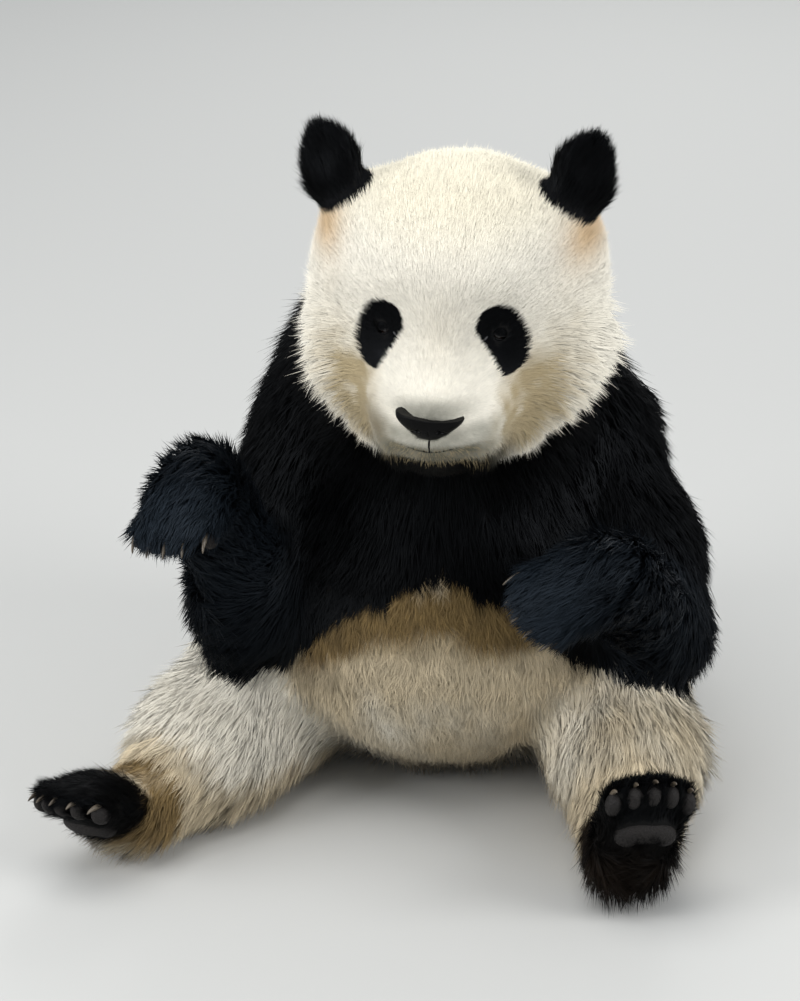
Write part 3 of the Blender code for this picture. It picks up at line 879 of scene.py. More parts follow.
def lip_grey(local):
    """1 on the lips' sides below the nose, stained grey by eating and with painted shade under the
    muzzle, and on the rim over the nose, which is painted shade.
    """
    below = ramp(NOSE[2] - local[:, 2], -0.006, 0.010)
    beside = below * (1 - ramp(np.abs(local[:, 0]), 0.046, 0.072))
    return np.maximum(beside * ramp(-local[:, 1], 0.05, 0.09) * 0.75, blob(local, *NOSE_RIM_SHADE))


def chin_grey(local):
    """1 on the chin from just above the mouth down, where it is wetted grey and darkened with
    painted shade.
    """
    grey = ramp(MOUTH_Z + 0.0095 - local[:, 2], 0.0, 0.007) * ramp(-local[:, 1], 0.05, 0.09)
    return grey * (1 - ramp(np.abs(local[:, 0]), 0.034, 0.060))


def face_colour(points, local, face, colour):
    """The coat's colour with the head's stains and its painted shade laid over it."""
    mirrored = local * (0, 1, 1) + np.abs(local) * (1, 0, 0)
    colour = laid_over(colour, CROWN, face * ramp(local[:, 2], 0.07, 0.13))
    stain_and_shade = sum(share * blob(mirrored, at, size) for share, at, size in CHEEK_STAINS_AND_SHADE)
    inner = MUZZLE_HALF - MUZZLE_NARROWS * np.clip(-0.045 - local[:, 2], 0, 0.04)
    stain_and_shade = stain_and_shade * ramp(mirrored[:, 0] - inner, -0.007, 0.007)
    # tan stains, with painted shade below the eyes and beside the mouth
    colour = laid_over(colour, TAN, face * stain_and_shade * (1.15 + 0.30 * waves(points, 0.010, 5)))
    colour = laid_over(colour, RUST, face * blob(mirrored, *UNDER_EAR))
    uneven = 0.92 + 0.12 * waves(points, 0.010, 4)
    # grey stain and painted shade below the nose
    colour = laid_over(colour, LIP_GREY_AND_SHADE, face * lip_grey(local) * uneven)
    # painted shade over the nose's top edge
    colour = laid_over(colour, LIP_GREY_AND_SHADE * 0.45, face * 0.7 * blob(local, *NOSE_RIM_SHADE))
    # painted shade on the face's right beside the mouth
    colour = laid_over(colour, TAN * 0.42, face * 0.9 * blob(local, *RIGHT_MOUTH_SIDE_SHADE))
    # the chin's wet grey with painted shade
    colour = laid_over(colour, CHIN_GREY_AND_SHADE, face * chin_grey(local) * uneven)
    return laid_over(colour, TAN, face * blob(local, *BROW) * 0.16)


# %% Earth in the coat
EARTH = np.array((0.235, 0.156, 0.060))
DUST = np.array((0.72, 0.60, 0.41))
HAY = np.array((0.78, 0.71, 0.57))
EARTH_AND_SHADE_FLANKS = (  # middles and half sizes of places beside the belly, along the elbow, with earth and painted shade
    ((-0.155, -0.16, 0.170), (0.050, 0.11, 0.045)),
    ((-0.125, -0.19, 0.215), (0.035, 0.10, 0.030)),
)
BROWN_ABOVE = 0.215  # height on the belly above which dust gives way to brown
WORN = {"leg_right": 0.14, "leg_left": 0.44}  # how soiled each leg is all over


def dark_flank(points, owners):
    """1 in the middle of the places beside the belly that hold earth and painted shade, and 0 away
    from them.
    """
    return owners["trunk"] * np.maximum(*(blob(points, *place) for place in EARTH_AND_SHADE_FLANKS))


def soiling(points, owners):
    """How much earth is in the coat."""
    x, y, z = points.T
    patchy = waves(points, 0.055, 11) * 0.25 + waves(points, 0.018, 12) * 0.12
    front = ramp(-y, -0.06, 0.10)
    high = ramp(z, 0.13, 0.22)
    soil = owners["trunk"] * (front * (0.42 + 0.50 * high) + 0.14)
    soil = soil + owners["tail"] * 0.25 + owners["neck"] * 0.06
    under = 0.55 * ramp(0.075 - z, 0, 0.05)
    for limb, worn in WORN.items():
        shin = bone_share(points, *LIMBS[limb][1:3])
        soil = soil + owners["upper_" + limb] * (worn + under)
        soil = soil + owners["lower_" + limb] * (worn + under + 0.80 * ramp(shin, 0.35, 0.90))
    soil = soil + 0.35 * ramp(0.06 - z, 0, 0.05) * (owners["trunk"] + owners["upper_leg_right"])
    soil = soil + owners["paw_leg_right"] + 0.8 * dark_flank(points, owners)
    return np.clip(soil * (1 + patchy), 0, 1)


def soiled_colour(points, owners, soil, colour):
    """The coat's colour with hay, dust and brown earth laid over it, one after another, and painted
    shade by the elbow.
    """
    flank = dark_flank(points, owners)
    brown = (points[:, 2] - BROWN_ABOVE) * 34 + 2 * flank + 6 * owners["paw_leg_right"]
    for limb in WORN:
        shin = bone_share(points, *LIMBS[limb][1:3])
        brown = brown + 6 * owners["lower_" + limb] * ramp(shin, 0.45, 0.95)
    brown = ramp(waves(points, 0.05, 21) * 0.3 + brown, -0.7, 0.7)
    colour = laid_over(colour, HAY, soil * 2.2)
    colour = laid_over(colour, DUST, (soil - 0.25) * 2.4)
    colour = laid_over(colour, EARTH, (soil - 0.38) * 2.2 * brown)
    # painted shade along the right elbow, over the earth beside the belly
    return laid_over(colour, EARTH * 0.35, 0.70 * flank)


# %% The coat's colour at any point
# The black coat is painted darker than black fur, as painted shade on the chest, ears, eye patches
# and lids; the paws' black is a lit copy of it.
SHADED_BLACK = np.array((0.0014, 0.0014, 0.0015))
LIT_PAW_BLACK = np.array((0.0140, 0.0195, 0.0265))  # lighter and bluer: painted sheen, the sky's reflection painted in
RUSTY_BLACK = np.array((0.018, 0.012, 0.008))


def black_colour(points, owners):
    """The black coat's colour: painted shade on most of it, a lighter, bluish painted sheen on the
    forepaws and forearms, and rusty on the shins.
    """
    dark = np.tile(SHADED_BLACK, (len(points), 1))
    # how much painted sheen lies on each point: all of it on the forepaws, half on the forearms
    arm = sum(owners["paw_" + limb] + 0.5 * owners["lower_" + limb] for limb in ARMS)
    dark = laid_over(dark, LIT_PAW_BLACK, arm)
    leg = owners["lower_leg_right"] + owners["lower_leg_left"]
    return laid_over(dark, RUSTY_BLACK, leg * (0.6 + 0.4 * waves(points, 0.03, 8)))


def coat_colour(points, owners):
    """The colour of the coat at each point, with painted shade under the chin, and how black and
    how soiled it is there.
    """
    local = carried(points, head_inverse)
    face = owners["head"]
    soil = soiling(points, owners)
    colour = np.tile(CREAM, (len(points), 1)) * (1 + 0.03 * waves(points, 0.030, 6))[:, None]
    colour = face_colour(points, local, face, colour)
    colour = soiled_colour(points, owners, soil, colour)
    # Under the chin the coat is painted black: painted shade, as dark as the chest's shade below
    # it.
    throat_shade = face * ramp(MOUTH_Z - local[:, 2], 0.008, 0.016) * chin_grey(local * (0.8, 1, 1))
    black = np.maximum(blackness(points, owners), ramp(under_pad(points), 0.6, 1.0))
    black = np.maximum(black, throat_shade)
    colour = colour + (black_colour(points, owners) - colour) * black[:, None]
    return colour, black, soil


def paint(obj, name, colours):
    """Writes one colour for each vertex."""
    layer = obj.data.color_attributes.new(name, "FLOAT_COLOR", "POINT")
    full = np.concatenate([colours, np.ones((len(colours), 1))], axis=1).astype(np.float32)
    layer.data.foreach_set("color", full.ravel())


points = corners_of(skin.data)
skin_colours, _, _ = coat_colour(points, owners_of(points))
paint(skin, "coat", skin_colours)
print("skin painted:", len(points), "points")

# %% [markdown]
# ## The lie of the coat
# Hair on a bear runs back from the nose, over the head, down the neck and back, and out along each
# limb, and its weight pulls it down a little. Each part has its own direction; the owners' shares
# blend them, and the part along the surface is what is left after taking the normal out.

# %% Direction of the hair
LIMB_SAG = {"arm": 0.45, "leg": 0.25}  # how much its weight pulls a limb's hair down
PAW_SAG = 0.05


def unit(vectors):
    """The same directions, each one long."""
    return vectors / (np.linalg.norm(vectors, axis=1, keepdims=True) + 1e-9)


def head_lie(points):
    """The way hair runs on the head: away from the nose, and out round the eyes."""
    local = carried(points, head_inverse)
    away = unit(local - NOSE)
    away = away + cheek_share(local)[:, None] * np.array((0, 0.25, -0.75))
    away = away + ramp(local[:, 1], 0.0, 0.10)[:, None] * np.array((0, 0.2, -0.6))
    away = away + chin_share(local)[:, None] * np.array((0, 0.35, -1.6))
    away = away + jaw_share(local)[:, None] * np.array((0, -0.1, -1.4))
    for sign in SIDES.values():
        eye = np.array((sign * 0.053, local[:, 1].min(), 0.009))
        out = (local - eye) * (1, 0, 1)
        near = np.exp(-((np.linalg.norm(out, axis=1) / 0.013) ** 2))[:, None] * (local[:, 1:2] < 0)
        away = away * (1 - 0.6 * near) + unit(out) * 0.6 * near
    return away @ np.array(HEAD.to_3x3()).T


def lie_of(points, normals, owners):
    """The way the hair runs along the skin."""
    down = np.array((0, 0, -1.0))
    lie = owners["head"][:, None] * head_lie(points)
    lie = lie + owners["neck"][:, None] * unit(np.tile((0.0, 0.75, -0.65), (len(points), 1)))
    spread = unit(points * (1, 1, 0) - (0, 0.06, 0)) * 0.35 + down
    lie = lie + owners["trunk"][:, None] * unit(spread)
    lie = lie + owners["tail"][:, None] * np.array((0, 0.45, -0.9))
    for side, sign in SIDES.items():
        up = np.array(HEAD.to_3x3() @ Vector((sign * 0.42, -0.05, 0.9)))
        lie = lie + owners["ear_" + side][:, None] * up
    for limb, places in LIMBS.items():
        pulls = {"upper_": LIMB_SAG[limb[:3]], "lower_": LIMB_SAG[limb[:3]], "paw_": PAW_SAG}
        for (part, pull), start, end in zip(pulls.items(), places, places[1:]):
            run = np.array(end) - np.array(start)
            lie = lie + owners[part + limb][:, None] * (run / np.linalg.norm(run) + pull * down)
    lie = lie - normals * (lie * normals).sum(1, keepdims=True)
    return unit(lie)


# %% [markdown]
# ## Tufts
# Fur could be Blender's hair curves, but those are lost when a model is exported. Fur could be
# Blender's hair curves, but here each tuft is a real closed solid: a short one is a thorn of four
# faces, and a long one has a root, a knee of three corners and a tip, so that it can bend.
# Hundreds of thousands of them are written at once from arrays, because an operator for each would
# take hours. Roots are sown evenly over the skin, thick where hair is short.
# Neighbours share a lock: its turn, and where its tips draw to.

# %% Roots on a surface
RNG = np.random.default_rng(20)
FINE_TUFTS = 148000  # where the hair is short
BODY_TUFTS = 138000
SHAGGY_TUFTS = 50000  # on the arms, where tufts bend at a knee
LID_TUFTS = 2600  # on each eye's lids
FINE_UNDER = 0.022  # hair shorter than this gets the fine tufts


def surface_triangles(obj):
    """A surface's triangles: corners, corner normals and corners on its unwrap."""
    mesh = obj.data
    mesh.calc_loop_triangles()
    count = len(mesh.loop_triangles)
    index = np.empty(count * 3, np.int32)
    loops = np.empty(count * 3, np.int32)
    mesh.loop_triangles.foreach_get("vertices", index)
    mesh.loop_triangles.foreach_get("loops", loops)
    normals = np.empty(len(mesh.vertices) * 3, np.float32)
    mesh.vertices.foreach_get("normal", normals)
    chart = np.empty(len(mesh.loops) * 2, np.float32)
    mesh.uv_layers["OFBake"].data.foreach_get("uv", chart)
    index, loops = index.reshape(-1, 3), loops.reshape(-1, 3)
    places = corners_of(mesh)
    return places[index], normals.reshape(-1, 3)[index].astype(float), chart.reshape(-1, 2)[loops]


def area_of(corners):
    """The area of each triangle."""
    one, other = corners[:, 1] - corners[:, 0], corners[:, 2] - corners[:, 0]
    return np.linalg.norm(np.cross(one, other), axis=1) / 2


def sown(triangles, need, count):
    """Spreads roots over triangles in step with need: their places, normals and unwrap places."""
    steps = np.cumsum(need) / need.sum()
    picks = np.searchsorted(steps, (np.arange(count) + RNG.uniform(0, 1, count)) / count)
    picks = np.minimum(picks, len(steps) - 1)
    mix = RNG.uniform(0, 1, (count, 2))
    mix = np.where(mix.sum(1, keepdims=True) > 1, 1 - mix, mix)
    mix = np.concatenate([mix, 1 - mix.sum(1, keepdims=True)], axis=1)[:, :, None]
    places, normals, charts = [(part[picks] * mix).sum(1) for part in triangles]
    return places, unit(normals), charts


# %% Bare places
BARE_RIM = 0.0003  # metres round pads and sockets
BARE_TEAR = 0.0014
BARE_LIP = 0.0008


def bare(points):
    """True where no hair grows: on pads, in eye sockets, behind the nose pad, on lips and tears."""
    found = np.zeros(len(points), bool)
    for limb in LIMBS:
        for at, size in pad_lumps(limb):
            found |= ball_gap(points, at, size, paw_frame(limb)) < BARE_RIM
    for eye in eyes.values():
        away = np.linalg.norm(points - np.array(eye["at"]), axis=1)
        found |= away < eye["radius"] * SOCKET + BARE_RIM
    for place in tear_places:
        found |= np.linalg.norm(points - np.array(place), axis=1) < BARE_TEAR
    found |= under_pad(points) > 0.9
    for start, end in [*zip(mouth_line, mouth_line[1:]), *zip(philtrum, philtrum[1:])]:
        found |= bone_gap(points, start, end, BARE_LIP, BARE_LIP) < 0
    return found


# %% Sow the roots
SEAT = 0.022  # height under which the coat is pressed on the floor, and thin
SEAT_THIN = 0.35


def shagginess(owners):
    """The arms' share, whose coat hangs in bent tufts."""
    return sum(share for name, share in owners.items() if "arm" in name)


triangles = surface_triangles(skin)
middles, areas = triangles[0].mean(1), area_of(triangles[0])
lengths = hair_length(middles, owners_of(middles))
need = areas * ~bare(middles) * np.where(middles[:, 2] < SEAT, SEAT_THIN, 1) / lengths
shaggy = shagginess(owners_of(middles)) > 0.5
fine = (lengths < FINE_UNDER) & ~shaggy
batches = [
    sown(triangles, need * fine, FINE_TUFTS),
    sown(triangles, need * ~fine * ~shaggy, BODY_TUFTS),
    sown(triangles, need * shaggy, SHAGGY_TUFTS),
]
for name, part in (("fine", fine), ("shaggy", shaggy)):
    print(name, "coat:", round(float((areas * part).sum()), 3), "square metres")
for lid in lids.values():
    lid_triangles = surface_triangles(lid)
    lid_need = area_of(lid_triangles[0]) * lid_cover(lid_triangles[0], lid)
    batches.append(sown(lid_triangles, lid_need, LID_TUFTS))
roots, normals, charts = [np.concatenate(parts) for parts in zip(*batches)]
order = np.arange(len(roots))
on_lid = order >= FINE_TUFTS + BODY_TUFTS + SHAGGY_TUFTS
bends = ~on_lid & (order >= FINE_TUFTS + BODY_TUFTS)
keep = ~bare(roots) | on_lid
roots, normals, charts, on_lid, bends = [
    part[keep] for part in (roots, normals, charts, on_lid, bends)
]
print(len(roots), "roots over", round(float(areas.sum()), 2), "square metres")

# %% Gather the roots into locks
LOCK_SIZE = 12  # tufts in a lock
FRINGE_LONGER = 0.014  # along the jaw
LID_HAIR = 0.0040

owners = owners_of(roots)
local = carried(roots, head_inverse)
fringe = owners["head"] * jaw_share(local) * FRINGE_LONGER
lengths = np.where(on_lid, LID_HAIR, hair_length(roots, owners) + fringe)
lies = lie_of(roots, normals, owners)
heads = RNG.choice(len(roots), len(roots) // LOCK_SIZE, replace=False)
tree = KDTree(len(heads))
for number, head in enumerate(heads):
    tree.insert(roots[head], number)
tree.balance()
lock = np.array([tree.find(root)[1] for root in roots])
lock_heads = heads[lock]
print(len(heads), "locks")

# %% Shape the tufts
LIFT_AT_ROOT = math.radians(27)
LIFT_AT_TIP = math.radians(14)
LOCK_TURN = 0.13  # radians by which a whole lock may turn
OWN_TURN = 0.12
WOOLLY_TURN = 0.30  # what both get more on the belly, whose hair lies all ways
DRAWN = 0.22  # how far long tips are drawn to their lock's middle
CHEEK_DRAWN = 0.25  # and how much more on the cheeks
STRAYS = 0.07  # share of the long tufts that stand out of the coat
KNEE_AT = 0.45  # how far along a tuft its knee is
SAG = 0.16  # how much its weight bends a long tuft beyond the knee
TUFT_WIDTHS = ((0.003, 0.010, 0.018, 0.042), (0.0006, 0.0009, 0.0011, 0.0018))  # by length

count = len(roots)
long_hair = ramp(lengths, 0.012, 0.036)  # 0 on the face, 1 on the body


def lock_random(spread):
    """A random value for each lock, handed to all its tufts."""
    return RNG.normal(0, spread, len(heads))[lock]


def own_random(spread):
    """A random value for each tuft."""
    return RNG.normal(0, spread, count)


woolly = owners["trunk"] * belly_share(roots)
turn = lock_random(LOCK_TURN) * (0.3 + 0.7 * long_hair) + own_random(OWN_TURN)
turn = turn + (lock_random(WOOLLY_TURN) + own_random(WOOLLY_TURN)) * woolly
sides = np.cross(normals, lies)
runs = lies * np.cos(turn)[:, None] + sides * np.sin(turn)[:, None]
stray = (RNG.uniform(0, 1, count) < STRAYS * (1 - 0.6 * shagginess(owners))) & (lengths > 0.007)
sunk = roots - normals * np.minimum(0.0012, lengths * 0.08)[:, None]  # roots start under the skin
first_lift = LIFT_AT_ROOT * (0.8 + 0.2 * long_hair) + lock_random(0.10) * long_hair
first_lift = first_lift + own_random(0.09) + 0.18 * stray - 0.07 * shagginess(owners)
last_lift = LIFT_AT_TIP + lock_random(0.12) * long_hair + own_random(0.10) + 0.24 * stray
size = lengths * np.clip(1 + lock_random(0.07) + own_random(0.12), 0.55, 1.3)


def stepped(start, run, lift, length):
    """Where a tuft gets to from its start, lifted off the skin by an angle."""
    rise = np.cos(lift)[:, None] * run + np.sin(lift)[:, None] * normals
    return start + rise * length[:, None]


knees = stepped(sunk, runs, first_lift, size * KNEE_AT)
sag = np.array((0, 0, -SAG)) * long_hair[:, None]
bent = unit(runs + sides * own_random(0.10)[:, None] + sag)
tips = stepped(knees, bent, last_lift, size * (1 - KNEE_AT))
shaggy_cheek = owners["head"] * cheek_share(local)
draw = (DRAWN * long_hair + 0.04 + CHEEK_DRAWN * shaggy_cheek)[:, None] * ~stray[:, None]
tips = tips + (tips[lock_heads] - tips) * draw
knees = knees + (knees[lock_heads] - knees) * draw * 0.4
width = np.interp(lengths, *TUFT_WIDTHS)
width = width * np.clip(1 + own_random(0.2), 0.6, 1.6) * np.where(stray, 0.7, 1)
for bit in (knees, tips):
    floor_gap = RNG.uniform(0.0008, 0.0040, count)
    bit[:, 2] = np.maximum(bit[:, 2], floor_gap)
print("tufts from", round(size.min() * 1000, 1), "to", round(size.max() * 1000, 1), "mm long")

# %% Colour the tufts
TINTED_AT = 0.4  # a tuft has the colour that the coat has this far along it
PALE_CHIN_HAIRS = 0.30  # share of the chin's tufts that have stayed pale, by the mouth
SOILED_FROM = 0.34  # how soiled a tuft is that gets the soiled finish

base, black, soil = coat_colour(roots + runs * (size * TINTED_AT)[:, None], owners)
black = np.where(on_lid, 1, black)
base = np.where(on_lid[:, None], SHADED_BLACK, base)
tint = 1 + lock_random(0.03) + own_random(0.04)
tint = np.clip(tint + 0.13 * soil * lock_random(1.0), 0.5, 1.35)
in_chin = owners["head"] * chin_grey(local)
by_mouth = ramp(local[:, 2] - MOUTH_Z, -0.019, -0.011)
pale = in_chin * (RNG.uniform(0, 1, count) < PALE_CHIN_HAIRS * by_mouth)
# the chin's pale hairs are tan, darkened a little with painted shade
base = laid_over(base, TAN * 0.85, pale) * tint[:, None]
kinds = np.where(black > 0.5, "black", np.where(soil > SOILED_FROM, "soiled", "white"))
print({str(kind): int((kinds == kind).sum()) for kind in np.unique(kinds)})

# %% One mesh from many tufts
CHART_PATCH = 0.003  # a tuft's size on the skin's unwrap
PIECE_FACES = 190000  # at most this many in one coat piece
# A long tuft's corners: root, knee left, knee right, knee ridge, tip. Faces wind outwards.
LONG_FACES = np.array([(0, 3, 1), (0, 2, 3), (0, 1, 2), (4, 1, 3), (4, 3, 2), (4, 2, 1)])
LONG_CHART = np.array([(0, -0.5), (-0.4, 0), (0.4, 0), (0, 0.1), (0, 0.5)]) * CHART_PATCH
# each corner's colour is scaled: darker at the root, as painted shade among the roots, and lighter
# at the tip, as painted light
LONG_ROOT_SHADE_TIP_LIGHT = np.array((0.85, 0.97, 0.97, 1.0, 1.03))
# A short tuft's corners: root left, root right, root ridge, tip.
SHORT_FACES = np.array([(0, 1, 2), (3, 0, 2), (3, 2, 1), (3, 1, 0)])
SHORT_CHART = np.array([(-0.4, -0.5), (0.4, -0.5), (0, -0.3), (0, 0.5)]) * CHART_PATCH
# the same painted shade at the roots and painted light at the tips, milder on short tufts
SHORT_ROOT_SHADE_TIP_LIGHT = np.array((0.98, 0.98, 0.99, 1.01))
SOFT_SHADING = 0.80  # how much a tuft is lit as the skin under it is, which hides its own facets
ROLL = 0.30  # radians by which a tuft may be rolled
RIDGE = 0.8  # height of a tuft's ridge for half its width


def tuft_solids(chosen, bent):
    """Corners, faces, chart places, colours and normals of the chosen tufts, all of one sort."""
    start, knee, tip = sunk[chosen], knees[chosen], tips[chosen]
    along = unit(tip - start)
    side = unit(np.cross(normals[chosen], along))
    roll = RNG.normal(0, ROLL, len(chosen))[:, None]
    side = side * np.cos(roll) + np.cross(along, side) * np.sin(roll)
    up = np.cross(along, side)
    half = width[chosen][:, None] / 2
    if bent:
        corners = [start, knee + side * half, knee - side * half, knee + up * half * RIDGE, tip]
        outward = [up, side, -side, up, up]
        faces, chart, root_shade_tip_light = LONG_FACES, LONG_CHART, LONG_ROOT_SHADE_TIP_LIGHT
    else:
        corners = [start + side * half, start - side * half, start + up * half * RIDGE, tip]
        outward = [side, -side, up, up]
        faces, chart, root_shade_tip_light = SHORT_FACES, SHORT_CHART, SHORT_ROOT_SHADE_TIP_LIGHT
    soft = normals[chosen][:, None] * SOFT_SHADING + np.stack(outward, axis=1) * (1 - SOFT_SHADING)
    corners = np.stack(corners, axis=1)
    faces = faces[None] + corners.shape[1] * np.arange(len(chosen))[:, None, None]
    chart = charts[chosen][:, None] + chart[None]
    # the coat's colour with painted shade at the roots and painted light at the tips
    colours = base[chosen][:, None] * root_shade_tip_light[None, :, None]
    return (
        corners.reshape(-1, 3), faces.reshape(-1, 3), chart.reshape(-1, 2),
        colours.reshape(-1, 3), unit(soft.reshape(-1, 3)),
    )


def tufts(name, chosen):
    """A coat piece: the tufts whose numbers are in chosen."""
    bent_part = tuft_solids(chosen[bends[chosen]], True)
    straight_part = tuft_solids(chosen[~bends[chosen]], False)
    corners, faces, chart, colours, soft = [
        np.concatenate([a, b + shift]) for a, b, shift in
        zip(bent_part, straight_part, (0, len(bent_part[0]), 0, 0, 0))
    ]
    mesh = bpy.data.meshes.new(name)
    mesh.vertices.add(len(corners))
    mesh.loops.add(faces.size)
    mesh.polygons.add(len(faces))
    mesh.vertices.foreach_set("co", corners.astype(np.float32).ravel())
    mesh.loops.foreach_set("vertex_index", faces.ravel().astype(np.int32))
    mesh.polygons.foreach_set("loop_start", np.arange(0, faces.size, 3, dtype=np.int32))
    mesh.update(calc_edges=True)
    mesh.shade_smooth()
    mesh.normals_split_custom_set_from_vertices(soft)
    layer = mesh.uv_layers.new(name="OFBake")
    layer.data.foreach_set("uv", chart[faces.ravel()].astype(np.float32).ravel())
    obj = add_object(name, mesh)
    paint(obj, "coat", colours)
    return obj


# %% The coat in pieces
names = np.array(list(owners))
nearest = names[np.argmax(np.array(list(owners.values())), axis=0)]
zone_of = {name: name for name in ("head", "neck", "tail")}
zone_of |= {"trunk": "body", "ear_left": "ears", "ear_right": "ears"}
zone_of |= {part + limb: limb for limb in LIMBS for part in ("upper_", "lower_", "paw_")}
zones = np.array([zone_of[name] for name in nearest])
zones[on_lid] = "lids"
coat = {}
for zone in np.unique(zones):
    for kind in np.unique(kinds):
        found = np.flatnonzero((zones == zone) & (kinds == kind))
        if len(found) == 0:
            continue
        found = found[np.argsort(roots[found, 0], kind="stable")]
        parts = -(-int(np.where(bends[found], 6, 4).sum()) // PIECE_FACES)
        for number, chosen in enumerate(np.array_split(found, parts), 1):
            name = f"coat_{kind}_{zone}_{number}"
            coat[name] = (str(kind), tufts(name, chosen))
counts = {name: len(obj.data.polygons) for name, (_, obj) in coat.items()}
print(len(coat), "coat pieces,", sum(counts.values()), "triangles, at most", max(counts.values()))

# %% [markdown]
# ## Finishes
# The coat's colour comes from the colours painted on its points. A shared node group breaks them
# up: fine streaks for single hairs, broad patches for dust, and an uneven roughness. Constants,
# such as sheen, are set on each shader's own sockets, so that they survive an export.

# %% Node helpers
def new_group(name, inputs):
    """A node group with the given inputs, that puts out a colour, a roughness and a height."""
    group = bpy.data.node_groups.new(name, "ShaderNodeTree")
    for socket, value in inputs.items():
        kind = "NodeSocketColor" if socket == "Colour" else "NodeSocketFloat"
        made = group.interface.new_socket(socket, in_out="INPUT", socket_type=kind)
        made.default_value = value
    group.interface.new_socket("Colour", in_out="OUTPUT", socket_type="NodeSocketColor")
    group.interface.new_socket("Roughness", in_out="OUTPUT", socket_type="NodeSocketFloat")
    group.interface.new_socket("Height", in_out="OUTPUT", socket_type="NodeSocketFloat")
    return group, group.nodes.new("NodeGroupInput"), group.nodes.new("NodeGroupOutput")


def object_place(tree):
    """The place of each point in its object."""
    return tree.nodes.new("ShaderNodeTexCoord").outputs["Object"]


def feed(tree, socket, value):
    """Sets a socket to a number, or links another socket to it."""
    if isinstance(value, (int, float)):
        socket.default_value = value
    else:
        tree.links.new(value, socket)


def noise(tree, coordinates, scale, detail=3.0, roughness=0.6):
    """A cloudy pattern, whose clouds are about 1 / scale metres across."""
    node = tree.nodes.new("ShaderNodeTexNoise")
    settings = {"Vector": coordinates, "Scale": scale, "Detail": detail, "Roughness": roughness}
    for name, value in settings.items():
        feed(tree, node.inputs[name], value)
    return node.outputs["Fac"]


def remap(tree, value, low, high):
    """Spreads a noise's middle values from low to high."""
    node = tree.nodes.new("ShaderNodeMapRange")
    settings = {"Value": value, "From Min": 0.3, "From Max": 0.7, "To Min": low, "To Max": high}
    for name, end in settings.items():
        feed(tree, node.inputs[name], end)
    return node.outputs["Result"]


def calc(tree, operation, *values):
    """A sum, a difference or a product of numbers and sockets."""
    node = tree.nodes.new("ShaderNodeMath")
    node.operation = operation
    for socket, value in zip(node.inputs, values):
        feed(tree, socket, value)
    return node.outputs["Value"]


def shaded(tree, colour, factor):
    """A colour made lighter or darker by a factor."""
    node = tree.nodes.new("ShaderNodeVectorMath")
    node.operation = "SCALE"
    tree.links.new(colour, node.inputs[0])
    tree.links.new(factor, node.inputs["Scale"])
    return node.outputs["Vector"]


# %% Group: hair streaks
# Streak and Patch are how dark they get, and Gloss is the roughness round which it varies.
hair_group, given, result = new_group(
    "hair streaks", {"Colour": (0.8, 0.8, 0.8, 1), "Streak": 0.12, "Patch": 0.08, "Gloss": 0.6}
)
place = object_place(hair_group)
fine = noise(hair_group, place, 1400.0, detail=2.0)
broad = noise(hair_group, place, 45.0)
streak_low = calc(hair_group, "SUBTRACT", 1.0, given.outputs["Streak"])
patch_low = calc(hair_group, "SUBTRACT", 1.0, given.outputs["Patch"])
streaks = remap(hair_group, fine, streak_low, 1.04)
patches = remap(hair_group, broad, patch_low, 1.02)
factor = calc(hair_group, "MULTIPLY", streaks, patches)
hair_group.links.new(shaded(hair_group, given.outputs["Colour"], factor), result.inputs["Colour"])
rough_low = calc(hair_group, "SUBTRACT", given.outputs["Gloss"], 0.08)
rough_high = calc(hair_group, "ADD", given.outputs["Gloss"], 0.10)
hair_group.links.new(remap(hair_group, broad, rough_low, rough_high), result.inputs["Roughness"])
hair_group.links.new(fine, result.inputs["Height"])

# %% Group: leather grain
# Scale is how fine the pebbles are, and Wet is the roughness where it is wettest.
grain_group, given, result = new_group(
    "leather grain", {"Colour": (0.02, 0.02, 0.02, 1), "Scale": 900.0, "Wet": 0.3}
)
place = object_place(grain_group)
pebbles = grain_group.nodes.new("ShaderNodeTexVoronoi")
pebbles.feature = "SMOOTH_F1"
grain_group.links.new(place, pebbles.inputs["Vector"])
grain_group.links.new(given.outputs["Scale"], pebbles.inputs["Scale"])
cloud = noise(grain_group, place, 140.0)
tone = remap(grain_group, cloud, 0.75, 1.45)
grain_group.links.new(shaded(grain_group, given.outputs["Colour"], tone), result.inputs["Colour"])
dry = calc(grain_group, "ADD", given.outputs["Wet"], 0.22)
roughness = remap(grain_group, cloud, given.outputs["Wet"], dry)
grain_group.links.new(roughness, result.inputs["Roughness"])
height = calc(grain_group, "SUBTRACT", 1.0, pebbles.outputs["Distance"])
grain_group.links.new(height, result.inputs["Height"])


# %% Materials
def material_from(name, group, settings, constants, bump, painted=None):
    """A material whose colour, roughness and bump, of a strength and a depth, come from a group."""
    material = bpy.data.materials.new(name)
    material.use_nodes = True
    tree = material.node_tree
    shader = tree.nodes["Principled BSDF"]
    effect = tree.nodes.new("ShaderNodeGroup")
    effect.node_tree = group
    for socket, value in settings.items():
        effect.inputs[socket].default_value = value
    if painted:
        attribute = tree.nodes.new("ShaderNodeAttribute")
        attribute.attribute_name = painted
        tree.links.new(attribute.outputs["Color"], effect.inputs["Colour"])
    tree.links.new(effect.outputs["Colour"], shader.inputs["Base Color"])
    tree.links.new(effect.outputs["Roughness"], shader.inputs["Roughness"])
    relief = tree.nodes.new("ShaderNodeBump")
    relief.inputs["Strength"].default_value, relief.inputs["Distance"].default_value = bump
    tree.links.new(effect.outputs["Height"], relief.inputs["Height"])
    tree.links.new(relief.outputs["Normal"], shader.inputs["Normal"])
    for socket, value in constants.items():
        shader.inputs[socket].default_value = value
    return material


